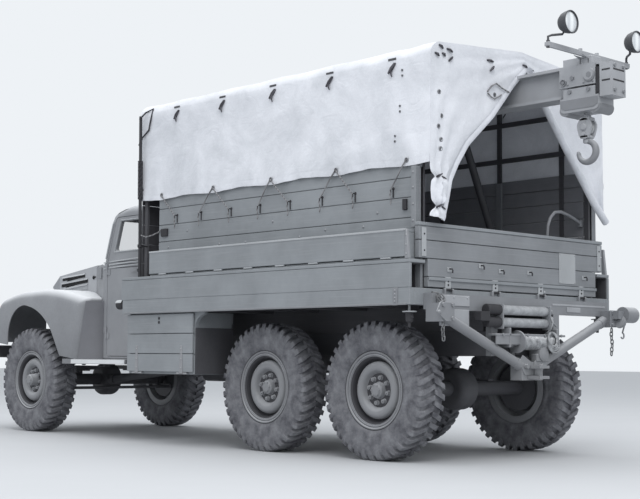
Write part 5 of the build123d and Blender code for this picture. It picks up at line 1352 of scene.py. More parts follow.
def make_rear_fittings():
    """Pins and plates at the struts' ends, a bollard and a hanging hook, and plates on the beam."""
    iron = bmesh.new()
    panels = bmesh.new()
    for side in sides:
        head = Vector((at(-0.712), side * 1.010, 1.075))
        foot = Vector((at(-0.712), side * 0.092, 0.705))
        along = (foot - head).normalized()
        for end, way in ((head, 1), (foot, -1)):
            start = end + along * way * 0.020
            bar(iron, start, start + along * way * 0.070, 0.044, 0.041, 24)
            bar(iron, end + Vector((-0.052, 0, 0)), end + Vector((0.010, 0, 0)), 0.020, sides=20)
            hex_nut(iron, end + Vector((-0.052, 0, 0)), 0.034, 0.016, rearward)
        cut_plate(iron, [(side * 0.960, 1.155), (side * 1.110, 1.155), (side * 1.148, 1.085),
                         (side * 1.050, 1.020), (side * 0.960, 1.020)], 0, (plate_rear, at(-0.790)),
                  0.002)
        for y, z in ((0.985, 1.135), (1.085, 1.135), (0.985, 1.040)):
            hex_nut(iron, (plate_rear, side * y, z), 0.026, 0.012, rearward)
        dome(iron, (plate_rear, side * 1.128, 1.082), 0.017, rearward, 0.014, 18, 4)
        cut_plate(iron, [(side * 0.100, 0.640), (side * 0.165, 0.740), (side * 0.120, 0.790),
                         (side * 0.020, 0.740), (side * 0.020, 0.640)], 0, (at(-0.752), at(-0.744)),
                  0.002)
    post = [(0.001, -0.070), (0.030, -0.070), (0.036, -0.060), (0.060, -0.056), (0.064, -0.050),
            (0.064, -0.030), (0.058, -0.024), (0.058, 0.044), (0.064, 0.050), (0.064, 0.064),
            (0.056, 0.070), (0.050, 0.070), (0.046, 0.052), (0.016, 0.050), (0.016, 0.062),
            (0.001, 0.064)]
    turned(iron, post, (at(-0.840), -1.150, 1.120), (0, -1, 0), 40)
    turned(iron, [(0.001, -0.040), (0.052, -0.036), (0.050, -0.010), (0.022, 0.028), (0.010, 0.036),
                  (0.001, 0.038)], (at(-0.840), -1.060, 1.052), (0, -1, -0.45), 28)
    hook = [(at(-0.830), -1.128, 1.066), (at(-0.812), -1.128, 1.010), (at(-0.800), -1.128, 0.975)]
    hook += arc((at(-0.800), -1.128, 0.952), 0.022, 80, -150, 10, ((0, -1, 0), (0, 0, 1)))
    pipe(iron, hook, 0.0065, 8)
    put_piece(iron, "rear_fittings", gear_enamel, "truck")
    board(panels, (beam_face - 0.008, beam_face), (0.671, 1.021), (1.136, 1.212), 0.003)
    board(panels, (beam_face - 0.006, beam_face + 0.020), (0.674, 0.978), (0.992, 1.112), 0.003)
    board(panels, (beam_face - 0.004, beam_face), (-1.040, -0.330), (1.176, 1.190), 0.001)
    board(panels, (beam_face - 0.005, beam_face), (-0.700, -0.520), (1.128, 1.168), 0.002)
    studs(panels, [(beam_face - 0.008, y, 1.196) for y in (0.700, 0.846, 0.992)], rearward, 0.008, 0.006)
    put_piece(panels, "rear_beam_plates", beam_enamel, "truck")


def make_winch():
    """Fairlead rollers in their housing, the winch's frame and drum, and wire on it and hanging below."""
    rollers = bmesh.new()
    for z, radius in roller_table:
        run = roller_left - roller_right
        turned(rollers, [(0.016, -0.018), (0.028, -0.016), (0.033, 0.002), (radius, 0.012),
                         (radius - 0.0008, run / 2), (radius, run - 0.012), (0.033, run - 0.002),
                         (0.022, run + 0.006), (0.016, run + 0.018)], (roller_x, roller_right, z),
               (0, 1, 0), 40)
    put_piece(rollers, "fairlead_rollers", roller_steel, "truck", ["rear_winch"])
    dark = bmesh.new()
    for z, radius in roller_table:
        cover = radius + 0.003
        turned(dark, [(0.001, 0.0), (cover - 0.006, 0.0), (cover, 0.006), (cover, 0.150),
                      (cover - 0.006, 0.156), (0.001, 0.156)], (roller_x, roller_left + 0.012, z),
               (0, 1, 0), 32)
    board(dark, (at(-0.766), at(-0.694)), (0.520, 0.622), (1.034, 1.104), 0.004)
    board(dark, (at(-0.764), at(-0.696)), (roller_left + 0.004, roller_left + 0.016), (0.990, 1.160), 0.003)
    put_piece(dark, "roller_housing", dark_enamel, "truck")
    frame_iron = bmesh.new()
    for low, high in ((roller_left + 0.004, roller_left + 0.018),
                      (roller_right - 0.022, roller_right - 0.008)):
        cut_plate(frame_iron, [(low, 0.980), (high, 0.980), (high, 1.164), (low, 1.164)], 0,
                  (frame_rear, at(-0.692)), 0.002)
    for z, _ in roller_table:
        bar(frame_iron, (roller_x, roller_right - 0.060, z), (roller_x, roller_right - 0.010, z), 0.020,
            0.016, 18)
        hex_nut(frame_iron, (roller_x, roller_right - 0.058, z), 0.030, 0.020, (0, -1, 0))
    turned(frame_iron, [(0.001, 0), (0.020, 0.002), (0.030, 0.012), (0.030, 0.030), (0.020, 0.042),
                        (0.001, 0.044)], (roller_x, roller_right - 0.040, 1.066), (0, -1, -0.3), 24)
    bar(frame_iron, (roller_x, roller_right - 0.050, 1.066), (roller_x - 0.010, roller_right - 0.130,
                                                              1.010), 0.008, 0.006)
    board(frame_iron, (frame_rear, at(-0.694)), (-0.390, 0.460), (0.930, 0.946), 0.002)
    board(frame_iron, (at(-0.766), at(-0.752)), (0.004, 0.450), (0.866, 0.944), 0.003)
    for y in (-0.300, 0.280):
        board(frame_iron, (frame_rear, at(-0.692)), (y, y + 0.020), (0.845, 0.990), 0.003)
    for y in (-0.250, 0.160):
        turned(frame_iron, [(0.034, -0.010), (0.084, -0.008), (0.086, 0.0), (0.084, 0.008), (0.034, 0.010)],
               (roller_x, y, drum_z), (0, 1, 0), 40)
    bar(frame_iron, (roller_x, -0.300, drum_z), (roller_x, 0.300, drum_z), 0.030)
    turned(frame_iron, [(0.001, 0.040), (0.040, 0.038), (0.058, 0.026), (0.062, 0.0), (0.062, -0.060),
                        (0.050, -0.066)], (at(-0.742), -0.120, 0.800), rearward, 28)
    board(frame_iron, (at(-0.760), at(-0.700)), (-0.200, -0.040), (0.740, 0.800), 0.006)
    board(frame_iron, (at(-0.700), at(-0.655)), (-0.260, 0.300), (0.845, 0.935), 0.003)
    for y in (-0.330, -0.120, 0.090, 0.380):
        hex_nut(frame_iron, (frame_rear, y, 0.938), 0.020, 0.010, rearward)
    put_piece(frame_iron, "winch_frame", gear_enamel, "truck")
    wire = bmesh.new()
    turns = 24
    profile = []
    for turn in range(turns):
        y = -0.236 + turn * 0.0158
        profile += [(0.056, y - 0.0079), (0.0605, y - 0.0045), (0.0620, y), (0.0605, y + 0.0045)]
    turned(wire, profile + [(0.056, profile[-1][1] + 0.0034)], (roller_x, 0, drum_z), (0, 1, 0), 36)
    lead = [(roller_x, -0.200, 0.950), (frame_rear, -0.205, 0.990), (at(-0.786), -0.208, 1.040),
            (at(-0.776), -0.200, 1.075)]
    pipe(wire, lead, 0.0075, 8)
    for turn in range(4):
        centre = (at(-0.786) - 0.004 * turn, -0.212 + 0.008 * turn, 0.880 + 0.010 * turn)
        pipe(wire, arc(centre, 0.070 - 0.006 * turn, 0, 350, 26, ((0, 1, 0), (0.2, 0, 1))), 0.0085, 8, True)
    put_piece(wire, "winch_wire", worn_steel, "truck")


make_rear_fittings()
make_winch()


# Chains: round links at the right corner and a bunch of them at the left corner

def chain_link(form, centre, along, across, length=0.052, width=0.034, thick=0.0048):
    """One welded chain link, a stadium loop about its centre."""
    along, across = Vector(along).normalized(), Vector(across).normalized()
    half = (length - width) / 2
    end = width / 2 - thick
    path = [Vector(centre) + along * (half + end * math.sin(a)) + across * end * math.cos(a)
            for a in [math.pi * k / 6 for k in range(7)]]
    path += [Vector(centre) - along * (half + end * math.sin(a)) - across * end * math.cos(a)
             for a in [math.pi * k / 6 for k in range(7)]]
    pipe(form, path, thick, 8, True)


# The bunch's way over the bracket and down its face: station, y, height
bunch_route = ((-0.630, 1.012, 1.226), (-0.668, 1.036, 1.218), (-0.704, 1.020, 1.214),
               (-0.716, 1.045, 1.188), (-0.722, 1.022, 1.164), (-0.745, 1.046, 1.146),
               (-0.760, 1.020, 1.160), (-0.735, 1.000, 1.184), (-0.720, 1.014, 1.210))


def make_chains():
    """Links that hang from both corners, and a bunch of them on the left bracket."""
    chains = bmesh.new()
    link_pitch = 0.031
    x = at(-0.760)
    for side, count in ((-1, 7), (1, 4)):
        for link in range(count):
            swing = 0.004 * math.sin(link * 1.3)
            across = (1, 0, 0) if link % 2 else (0, 1, 0)
            chain_link(chains, (x + swing, side * 1.035, 0.995 - link * link_pitch), (0, 0, 1), across,
                       0.048, 0.032)
    route = [Vector((at(station), y, z)) for station, y, z in bunch_route]
    for index, (near, far) in enumerate(zip(route[:-1], route[1:])):
        along = far - near
        across = along.cross(Vector((1, 0, 0) if index % 2 else (0, 1, 0)))
        chain_link(chains, near.lerp(far, 0.5), along, across, 0.046, 0.030)
    put_piece(chains, "chain_links", chain_steel, "truck", ["safety_chains"])


make_chains()


# Beam's end: cheek bosses, end block, hoist, hook block and hook

beam_top = limits("lifting_beam")[2][1]
beam_low = beam_top - 0.238
beam_half = 0.092
groove_heights = (2.852, 2.774)
hook_x = at(-1.262)


def make_beam_fittings():
    """Bosses, nuts and grooves of the beam's end block."""
    iron = bmesh.new()
    dark = bmesh.new()
    for side in sides:
        face = side * beam_half
        out = (0, side, 0)
        for station, z, ring in ((-1.350, 2.832, 0.050), (-1.122, 2.802, 0.028)):
            turned(iron, [(ring * 0.70, 0.0), (ring * 0.72, 0.010), (ring * 0.92, 0.012), (ring, 0.008),
                          (ring, 0.0)], (at(station), face, z), out, 36)
            hex_nut(iron, (at(station), face, z), ring * 0.8, 0.014, out)
        hex_nut(iron, (at(-1.202), face, 2.827), 0.030, 0.014, out)
        studs(iron, [(at(station), face, 2.782) for station in (-1.380, -1.300, -1.160)], out, 0.009, 0.006)
        board(dark, (at(-1.436), at(-1.402)), (side * 0.082, side * 0.090), (2.690, 2.880), 0.002)
        for z in groove_heights:
            board(dark, (at(-1.525), at(-1.455)), (side * 0.0878, side * 0.0895), (z - 0.006, z + 0.006),
                  0.0005)
        board(iron, (at(-1.440), at(-1.090)), (side * 0.080, side * 0.083),
              (beam_low + 0.002, beam_low + 0.020), 0.001)
    for z in groove_heights:
        board(dark, (at(-1.5415), at(-1.5400)), (-0.070, 0.070), (z - 0.006, z + 0.006), 0.0005)
    for y in (-0.055, 0.055):
        for z in (2.880, 2.700):
            hex_nut(iron, (at(-1.540), y, z), 0.024, 0.012, rearward)
    put_piece(iron, "beam_end_fittings", gear_enamel, "truck")
    put_piece(dark, "beam_end_grooves", dark_enamel, "truck")


def make_hoist():
    """Edge plates, nuts and round lobes of the hoist that runs on the beam."""
    iron = bmesh.new()
    for side in sides:
        face = side * 0.096
        out = (0, side, 0)
        cut_plate(iron, [(at(-1.425), 2.612), (at(-1.385), 2.592), (at(-1.135), 2.592), (at(-1.097), 2.612),
                         (at(-1.097), 2.668), (at(-1.425), 2.668)], 1, sorted((face, side * 0.100)), 0.001)
        for station in (-1.345, -1.180):
            hex_nut(iron, (at(station), face, beam_low + 0.039), 0.030, 0.012, out)
    for station in (-1.392, -1.130):
        bar(iron, (at(station), -beam_half, 2.594), (at(station), beam_half, 2.594), 0.045, sides=28)
    put_piece(iron, "hoist_fittings", gear_enamel, "hoist")


def make_hook():
    """Cheeks with their sheave, the swivel under them and the hook."""
    iron = bmesh.new()
    middle_z = 2.462
    upright = ((1, 0, 0), (0, 0, 1))
    for side in sides:
        upper = arc((hook_x, 0, middle_z + 0.008), 0.062, -22, 202, 14, upright)
        lower = arc((hook_x, 0, middle_z - 0.038), 0.050, 198, 342, 10, upright)
        outline = [(point.x, point.z) for point in upper + lower]
        cut_plate(iron, outline, 1, sorted((side * 0.022, side * 0.042)), 0.002)
        turned(iron, [(0.001, 0.016), (0.020, 0.015), (0.026, 0.008), (0.027, 0.0)],
               (hook_x, side * 0.042, middle_z), (0, side, 0), 24)
        hex_nut(iron, (hook_x, side * 0.042, middle_z - 0.050), 0.026, 0.012, (0, side, 0))
    board(iron, (hook_x - 0.044, hook_x + 0.044), (-0.042, 0.042), (2.508, 2.537), 0.006)
    board(iron, (hook_x - 0.038, hook_x + 0.038), (-0.042, 0.042), (2.380, 2.404), 0.006)
    turned(iron, [(0.001, 0), (0.026, 0.001), (0.030, 0.010), (0.030, 0.026), (0.024, 0.034),
                  (0.001, 0.035)], (hook_x, 0, 2.346), (0, 0, 1), 28)
    put_piece(iron, "hook_cheeks", beam_enamel, "hook", ["hook_block"])
    sheave = bmesh.new()
    turned(sheave, [(0.001, -0.018), (0.054, -0.018), (0.056, -0.014), (0.046, -0.004), (0.046, 0.004),
                    (0.056, 0.014), (0.054, 0.018), (0.001, 0.018)], (hook_x, 0, middle_z), (0, 1, 0), 40)
    put_piece(sheave, "hook_sheave", worn_steel, "hook")
    hook = bmesh.new()
    centre = (hook_x, 0, 2.284)
    bowl = arc(centre, 0.076, 92, 352, 40, upright)
    path = [Vector((hook_x, 0, 2.390))] + bowl + [bowl[-1] + Vector((0.006, 0, 0.016))]
    radii = [0.022]
    for index in range(len(bowl)):
        share = index / (len(bowl) - 1)
        radii.append(0.020 + 0.008 * math.sin(math.pi * min(share * 1.05, 1.0)) - 0.003 * share)
    radii.append(0.010)
    pipe(hook, path, radii, 18)
    put_piece(hook, "lifting_hook", gear_enamel, "hook")


make_beam_fittings()
make_hoist()
make_hook()


# Lamps: work lamps on their bar, headlamps, markers and tail lamps

def lamp_bowl(form, centre, radius, depth, axis):
    """A spun lamp bowl with its rim, open along the axis."""
    turned(form, [(0.001, -depth), (radius * 0.30, -depth * 0.98), (radius * 0.62, -depth * 0.80),
                  (radius * 0.86, -depth * 0.40), (radius * 0.95, 0.0), (radius * 0.96, 0.020),
                  (radius, 0.024), (radius, 0.034), (radius * 0.94, 0.038), (radius * 0.91, 0.034),
                  (radius * 0.91, 0.020)], centre, axis, 56)


def make_work_lamps():
    """The lamp bar on its foot, with a work lamp on a cranked stalk at each end."""
    bar_x = at(-1.283)
    low, high = beam_top + 0.060, beam_top + 0.091
    iron = bmesh.new()
    board(iron, (bar_x - 0.022, bar_x + 0.022), (-0.512, 0.512), (low, high), 0.003)
    board(iron, (bar_x - 0.022, bar_x - 0.016), (-0.505, 0.505), (low - 0.010, low + 0.004), 0.002)
    board(iron, (bar_x - 0.070, bar_x + 0.190), (-0.058, 0.058), (beam_top + 0.0005, low), 0.004)
    for x in (bar_x - 0.040, bar_x + 0.030):
        cut_plate(iron, [(-0.058, beam_top + 0.004), (0.058, beam_top + 0.004), (0.058, low - 0.020),
                         (0.140, low), (-0.140, low), (-0.058, low - 0.020)], 0, (x, x + 0.008), 0.001)
    hex_nut(iron, (bar_x, 0.104, high), 0.026, 0.018, (0, 0, 1))
    hex_nut(iron, (bar_x, -0.104, high), 0.026, 0.018, (0, 0, 1))
    stalks = bmesh.new()
    bowls = bmesh.new()
    glasses = bmesh.new()
    for side in sides:
        lamp = Vector((at(-1.400), side * 0.420, high + 0.134))
        end = side * 0.496
        bar(stalks, (bar_x, end, low - 0.010), (bar_x, end, high + 0.012), 0.014, sides=16)
        pipe(stalks, [(bar_x, end, high), (bar_x, end, high + 0.040),
                      (bar_x - 0.020, end - side * 0.020, high + 0.050),
                      (at(-1.360), side * 0.430, high + 0.054), (at(-1.366), side * 0.420, high + 0.072),
                      (at(-1.366), side * 0.420, high + 0.100)], 0.009, 12)
        turned(bowls, [(0.001, 0.072), (0.022, 0.070), (0.026, 0.060), (0.026, 0.040)], lamp, (1, 0, 0), 24)
        lamp_bowl(bowls, lamp, 0.084, 0.066, rearward)
        dome(glasses, lamp + Vector((-0.022, 0, 0)), 0.0765, rearward, 0.012, 48, 6)
    put_piece(iron, "work_lamp_bar", beam_enamel, "truck", ["lamp_bar"])
    put_piece(stalks, "work_lamp_stalks", frame_shaded_enamel, "truck")
    put_piece(bowls, "work_lamp_bowls", frame_shaded_enamel, "truck")
    put_piece(glasses, "work_lamp_glasses", lens_glass, "truck")


def make_road_lamps():
    """Headlamps, hooded side lamps at the front of the deck and hanging tail lamps."""
    bowls = bmesh.new()
    pale = bmesh.new()
    dark = bmesh.new()
    glasses = bmesh.new()
    for side in sides:
        head = Vector((at(5.632), side * 0.610, 1.090))
        lamp_bowl(bowls, head, 0.104, 0.066, (1, 0, 0))
        turned(bowls, [(0.080, -0.078), (0.080, -0.055), (0.050, -0.040)], head, (1, 0, 0), 40)
        dome(glasses, head + Vector((0.022, 0, 0)), 0.0945, (1, 0, 0), 0.018, 56, 6)
        marker = Vector((deck_x[1] + 0.020, side * (deck_half - 0.034), deck_top - 0.036))
        board(dark, (deck_x[1] + 0.0005, deck_x[1] + 0.014),
              (side * (deck_half - 0.074), side * (deck_half - 0.002)),
              (deck_top - 0.062, deck_top - 0.008), 0.003)
        turned(dark, [(0.001, 0.0), (0.024, 0.001), (0.036, 0.012), (0.042, 0.046), (0.042, 0.074),
                      (0.035, 0.076)], marker, (1, 0, 0), 32)
        dome(glasses, marker + Vector((0.072, 0, 0)), 0.035, (1, 0, 0), 0.012, 32, 5)
        hood = arc(marker, 0.0445, 20, 160, 12, ((0, 1, 0), (0, 0, 1)))
        for near, far in zip(hood[:-1], hood[1:]):
            ring = [pale.verts.new(near + Vector((-0.004, 0, 0))),
                    pale.verts.new(far + Vector((-0.004, 0, 0))),
                    pale.verts.new(far + Vector((0.084, 0, 0))),
                    pale.verts.new(near + Vector((0.084, 0, 0)))]
            pale.faces.new(ring)
        tail = Vector((at(-0.544), side * 1.150, 0.0))
        turned(dark, [(0.001, 0.979), (0.012, 0.980), (0.013, 1.012), (0.026, 1.020), (0.028, 1.030),
                      (0.028, 1.086)], tail, (0, 0, 1), 28)
        turned(pale, [(0.028, 1.086), (0.050, 1.086), (0.052, 1.090), (0.050, 1.094), (0.010, 1.097),
                      (0.009, 1.1365)], tail, (0, 0, 1), 32)
        dome(dark, tail + Vector((-0.027, 0, 1.052)), 0.016, rearward, 0.008, 24, 4)
    put_piece(bowls, "headlamp_bowls", cab_enamel, "truck", ["lamps"])
    put_piece(pale, "lamp_hoods", plate_enamel, "truck")
    put_piece(dark, "small_lamp_bodies", dark_enamel, "truck")
    put_piece(glasses, "road_lamp_glasses", lens_glass, "truck")


make_work_lamps()
make_road_lamps()


# Cab: mouldings, drip rails, window frames, louvres, aprons to the running boards, and a dark wall behind
# it as painted shade

cab_half = 0.800
belt_heights = (1.676, 1.647, 1.618)   # the three mouldings under the windows
bonnet_line = ((4.242, 0.575), (5.290, 0.345))   # station, y of the left side panel
panel_out = (0.214, 0.977)   # forward and outward parts of the side panel's normal
# Louvres of a side panel: station and height of the rear end and of the front end, height of the slot,
# and whether it is open
louvre_table = (
    ((4.560, 1.598), (5.200, 1.588), 0.030, True),
    ((4.480, 1.545), (5.225, 1.526), 0.034, True),
    ((4.480, 1.488), (5.160, 1.466), 0.044, False),
)


def prism(form, near, far):
    """A solid between two quads, each of four points in turn."""
    first = [form.verts.new(point) for point in near]
    second = [form.verts.new(point) for point in far]
    form.faces.new(first)
    form.faces.new(second)
    for k in range(4):
        form.faces.new((first[k], first[(k + 1) % 4], second[(k + 1) % 4], second[k]))


def on_panel(side, station, z, proud):
    """A place on the bonnet's side panel, or that far proud of it."""
    (rear, rear_y), (front, front_y) = bonnet_line
    y = rear_y + (front_y - rear_y) * (station - rear) / (front - rear)
    forward, outward = panel_out
    return Vector((at(station) + forward * proud, side * (y + outward * proud), z))


def make_bonnet_louvres():
    """Louvres of the bonnet's sides: slots under folded hoods and the bay behind, near-black as painted
    shade, and the side catch.
    """
    hoods = bmesh.new()
    slots = bmesh.new()
    bay_high, bay_low = 1.580, 1.320
    for side in sides:
        for rear_end, front_end, height, is_open in louvre_table:
            ends = []
            lips = []
            for station, z in (rear_end, front_end):
                ends.append([on_panel(side, station, z, 0.001), on_panel(side, station, z, 0.004),
                             on_panel(side, station, z - height, 0.004),
                             on_panel(side, station, z - height, 0.001)])
                lips.append([on_panel(side, station, z + 0.014, 0.001),
                             on_panel(side, station, z - 0.002, 0.016),
                             on_panel(side, station, z - 0.006, 0.013),
                             on_panel(side, station, z - 0.001, 0.001)])
            prism(slots if is_open else hoods, *ends)
            prism(hoods, *lips)
        inner = []
        for station in (4.300, 5.270):
            inner.append([on_panel(side, station, z, proud) for z, proud in
                          ((bay_high, -0.016), (bay_low, -0.016), (bay_low, -0.020), (bay_high, -0.020))])
        prism(slots, *inner)
        catch = on_panel(side, 4.321, 1.553, 0.001)
        dome(slots, catch, 0.020, (panel_out[0], side * panel_out[1], 0), 0.014, 20, 4)
        pipe(slots, [catch + Vector((0, side * 0.012, 0)), catch + Vector((-0.030, side * 0.020, 0.004)),
                     catch + Vector((-0.060, side * 0.014, 0.002))], 0.006, 8)
    put_piece(hoods, "louvre_hoods", bonnet_painted_light_enamel, "truck")
    # painted shade: the open slots and the bay behind them are near-black
    put_piece(slots, "louvre_slots", slot_black_and_shade, "truck")


def make_door_trim(name, side):
    """A door's window frame, belt mouldings with a painted shadow under each, and handle boss."""
    body = f"door_{name}"
    pale = bmesh.new()
    dark = bmesh.new()
    face = side * cab_half
    frame_line = [(3.197, 1.760), (3.612, 1.760), (3.513, 2.058), (3.197, 2.058)]
    pipe(pale, [(at(station), face, z) for station, z in frame_line], 0.0085, 10, True)
    for z in belt_heights:
        pipe(pale, [(at(3.165), face, z + 0.010), (at(3.705), face, z - 0.010)], 0.0065, 10)
        # painted shadow: a thin dark strip under each belt moulding
        board(dark, (at(3.170), at(3.700)), (face - side * 0.001, face + side * 0.0016),
              (z - 0.016, z - 0.009), 0.0004)
    turned(dark, [(0.001, 0.012), (0.016, 0.012), (0.018, 0.008), (0.018, 0.0)], (at(3.208), face, 1.568),
           (0, side, 0), 24)
    put_piece(pale, f"door_mouldings_{name}", plate_enamel, body)
    put_piece(dark, f"door_shadow_lines_and_boss_{name}", dark_enamel, body)


def make_cab_trim():
    """Drip rails with a painted shadow line along their tops, the ends of the belt mouldings and the cab's
    seams.
    """
    pale = bmesh.new()
    dark = bmesh.new()
    for side in sides:
        face = side * (cab_half + 0.001)
        drip = [(3.752, 1.700), (3.700, 1.860), (3.640, 2.030), (3.570, 2.118), (3.470, 2.146),
                (3.300, 2.152), (3.130, 2.148)]
        rail = [Vector((at(station), face - side * max(0.0, (z - 2.06) * 0.30), z)) for station, z in drip]
        pipe(pale, rail, 0.009, 10)
        # painted shadow: a thin dark line along the top of each drip rail
        pipe(dark, [point + Vector((0.006, -side * 0.004, 0.014)) for point in rail[2:]], 0.005, 8)
        for z in belt_heights:
            pipe(pale, [(at(3.735), face, z - 0.011), (at(3.786), face, z - 0.013)], 0.0060, 10)
        board(dark, (at(3.142), at(3.1515)), (side * 0.7985, side * 0.8010), (0.790, 2.070), 0.0004)
    for z in (1.700, 2.062):
        board(dark, (at(3.0585), at(3.0600)), (-0.345, 0.345), (z + 0.06, z + 0.072), 0.0004)
    put_piece(pale, "cab_mouldings", plate_enamel, "truck")
    put_piece(dark, "cab_seams_and_drip_shadow", dark_enamel, "truck")


def make_aprons():
    """Skirts that close the cab and the wings down to the running boards, darkened as painted shade,
    the boards' edges as painted highlights, and a dark wall behind the cab as painted shade.
    """
    aprons = bmesh.new()
    edges = bmesh.new()
    for side in sides:
        board(aprons, (at(3.062), at(3.780)), (side * 0.768, side * 0.797), (0.732, 0.747), 0.001)
        rows = []
        for z in (0.732, 0.82, 0.92, 1.02, 1.12, 1.22, 1.29):
            wing_rear = 3.985 - 0.125 * (z - 0.731) / 0.591
            start = Vector((at(wing_rear), side * 0.950, z))
            end = Vector((at(3.772), side * 0.802, z))
            knee = Vector((at(3.800), side * 0.900, z))
            rows.append([start.lerp(knee, t).lerp(knee.lerp(end, t), t)
                         for t in [k / 10 for k in range(11)]])
        join_rows(aprons, rows)
        # painted highlight: a thin pale strip along each running board's outer edge
        board(edges, (at(3.075), at(3.960)), (side * 1.040, side * 1.044), (0.690, 0.729), 0.0015)
    put_piece(aprons, "cab_aprons", apron_painted_shade_enamel, "truck")
    put_piece(edges, "running_board_highlights", edge_painted_highlight_enamel, "truck")
    # painted shade: a dark boarded wall in the gap behind the cab
    wall = bmesh.new()
    stack_boards(wall, (at(2.824), at(2.838)), (-1.044, 1.044),
                 (deck_top + 0.002, 1.430, 1.602, 1.774, 1.950, 2.126, 2.300))
    put_piece(wall, "load_space_front_painted_shade", dark_timber, "truck")


def make_grille():
    """Upright grille bars between two rails."""
    bars = bmesh.new()
    front = at(5.450)
    slot_count = 13
    slot_pitch = 0.044
    for k in range(slot_count + 1):
        y = (k - slot_count / 2) * slot_pitch
        turned(bars, [(0.001, 0.872), (0.0075, 0.880), (0.0075, 1.420), (0.001, 1.428)],
               (front - 0.001, y, 0), (0, 0, 1), 12)
    for z in (0.868, 1.432):
        board(bars, (front - 0.003, front + 0.006), (-0.285, 0.285), (z - 0.010, z + 0.010), 0.003)
    put_piece(bars, "grille_bars", cab_enamel, "truck")


make_bonnet_louvres()
for door_name, door_side in (("left", 1), ("right", -1)):
    make_door_trim(door_name, door_side)
make_cab_trim()
make_aprons()
make_grille()


# Bench seat: two stuffed cushions, blown out by a cloth simulation, with their sewn channels

seat_x, seat_y, seat_z = limits("cab_seat")
seat_split = 1.385


def stuffed_form(x, y, z):
    """A cushion's block before it is stuffed."""
    form = bmesh.new()
    board(form, x, y, z, 0.030)
    mesh = bpy.data.meshes.new("stuffing")
    form.to_mesh(mesh)
    form.free()
    return mesh


def through_modifier(mesh, kind, **settings):
    """A mesh after one modifier."""
    body = bpy.data.objects.new("stuffing", mesh)
    bpy.context.collection.objects.link(body)
    change = body.modifiers.new("change", kind)
    for name, value in settings.items():
        setattr(change, name, value)
    result = bpy.data.meshes.new_from_object(body.evaluated_get(bpy.context.evaluated_depsgraph_get()))
    bpy.data.objects.remove(body)
    return result


def swell(mesh, cap):
    """A mesh blown out by its stuffing, no point moved farther than a cap."""
    body = bpy.data.objects.new("stuffing", mesh)
    bpy.context.collection.objects.link(body)
    cloth = body.modifiers.new("stuffing", "CLOTH")
    cloth.settings.use_pressure = True
    cloth.settings.uniform_pressure_force = 4
    cloth.settings.effector_weights.gravity = 0
    for step in range(1, 21):
        bpy.context.scene.frame_set(step)
    result = bpy.data.meshes.new_from_object(body.evaluated_get(bpy.context.evaluated_depsgraph_get()))
    for before, after in zip(mesh.vertices, result.vertices):
        shift = after.co - before.co
        if shift.length > cap:
            after.co = before.co + shift.normalized() * cap
    bpy.data.objects.remove(body)
    bpy.context.scene.frame_set(1)
    return result


def make_seat():
    """Seat and back, with piping along the sewn channels."""
    inset = 0.016
    cushion_x = (seat_x[0] + 0.101 + inset, seat_x[1] - inset)
    back_x = (seat_x[0] + inset, seat_x[0] + 0.156 - inset)
    across = (seat_y[0] + inset, seat_y[1] - inset)
    seams = bmesh.new()
    cushion_table = (
        # name, limits on each axis, way its face looks, nodes that it replaces
        ("seat_cushion", cushion_x, across, (seat_z[0] + inset, seat_split - inset),
         (0, 0, 1), ["cab_seat"]),
        ("seat_back", back_x, across, (seat_split + inset, seat_z[1] - inset), (1, 0, 0), ()),
    )
    for name, x, y, z, way, gone in cushion_table:
        mesh = through_modifier(stuffed_form(x, y, z), "REMESH", mode="VOXEL", voxel_size=0.012)
        mesh = through_modifier(swell(mesh, 0.022), "SUBSURF", levels=1)
        piece = put_mesh(finish_mesh(mesh, seat_cloth, 60), name, "truck", gone)
        cover = BVHTree.FromPolygons([vert.co for vert in mesh.vertices],
                                     [face.vertices for face in mesh.polygons])
        for seam in (-0.460, -0.230, 0.0, 0.230, 0.460):
            line = []
            for k in range(25):
                if way[2]:
                    start = Vector((x[0] + 0.02 + (x[1] - x[0] - 0.04) * k / 24, seam, z[1] + 0.2))
                else:
                    start = Vector((x[1] + 0.2, seam, z[0] + 0.02 + (z[1] - z[0] - 0.04) * k / 24))
                found = cover.ray_cast(start, -Vector(way))[0]
                if found is not None:
                    line.append(found - Vector(way) * 0.0015)
            pipe(seams, line, 0.0035, 8)
    put_piece(seams, "seat_piping", ebonite, "truck")


make_seat()


# Finishes of the solids that stay

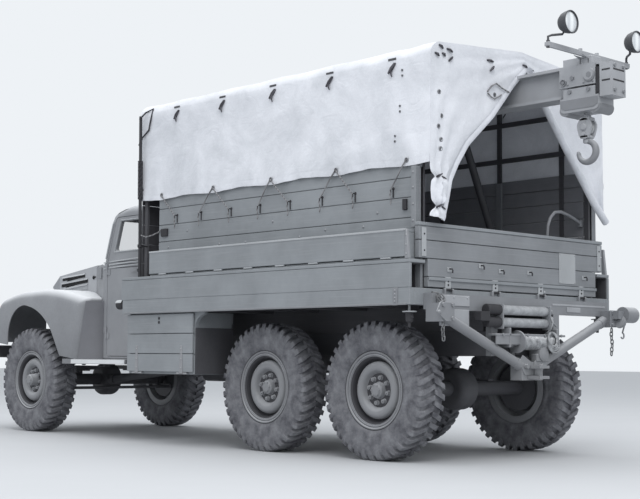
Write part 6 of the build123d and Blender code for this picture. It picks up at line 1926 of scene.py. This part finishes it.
solid_finishes = {
    bonnet_painted_light_enamel: ("bonnet", "bonnet_sides"),
    cab_enamel: ("cab_shell", "door_left", "door_right", "radiator_shell"),
    wing_painted_light_enamel: ("front_wings",),
    gear_enamel: ("rear_beam",),
    frame_shaded_enamel: ("front_bumper", "chassis_frame", "fuel_tank", "front_axle", "rear_axles", "leaf_springs",
                   "knuckle_left", "knuckle_right", "tie_rod", "driveline", "exhaust", "engine_block",
                   "beam_supports"),
    beam_enamel: ("lifting_beam", "hoist_trolley"),
    dark_timber: ("tilt_frame",),
    ebonite: ("steering_wheel",),
    window_glass: ("cab_glass",),
}
for finish, nodes in solid_finishes.items():
    for node in nodes:
        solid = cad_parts[node]
        if not solid.material_slots:
            solid.data.materials.append(finish)
        for place in solid.material_slots:
            place.material = finish


# Floor and light: pale ground and a broad overcast sky, a little brighter from the camera's left

def studio_paper():
    """Matt pale studio floor: even, with a barely visible mottle."""
    material, tree, shader, place = new_finish("matt_studio_floor", 0.9)
    cloud_size = 0.9
    cloudy = spread(tree, mottle(tree, place, cloud_size, 3), 0.3, 0.7, 0.985, 1.01)
    tree.links.new(shaded(tree, "#BEC0C3", cloudy), shader.inputs["Base Color"])
    return material


def make_stage():
    """The floor, the sky and two broad lamps."""
    ground = bmesh.new()
    floor_half = 60.0
    corners = [ground.verts.new((x, y, 0)) for x, y in ((-floor_half, -floor_half),
                                                        (floor_half, -floor_half),
                                                        (floor_half, floor_half),
                                                        (-floor_half, floor_half))]
    ground.faces.new(corners)
    mesh = bpy.data.meshes.new("studio_floor")
    ground.to_mesh(mesh)
    ground.free()
    mesh.materials.append(studio_paper())
    floor = bpy.data.objects.new("studio_floor", mesh)
    bpy.context.collection.objects.link(floor)
    world = bpy.data.worlds.new("overcast_sky")
    bpy.context.scene.world = world
    world.use_nodes = True
    sky = world.node_tree.nodes["Background"]
    sky.inputs["Color"].default_value = linear("#EEF2F6")
    sky.inputs["Strength"].default_value = 1.0
    lamp_table = (
        # name, place, size, power
        ("sky_left", (-9.0, 7.0, 11.0), 9.0, 900.0),
        ("sky_top", (1.0, 0.0, 13.0), 12.0, 700.0),
    )
    for name, place, size, power in lamp_table:
        data = bpy.data.lights.new(name, "AREA")
        data.size = size
        data.energy = power
        lamp = bpy.data.objects.new(name, data)
        lamp.location = place
        aim = Vector((0, 0, 1.2)) - Vector(place)
        lamp.rotation_euler = aim.to_track_quat("-Z", "Y").to_euler()
        bpy.context.collection.objects.link(lamp)
    bpy.context.scene.view_settings.view_transform = "Standard"


make_stage()
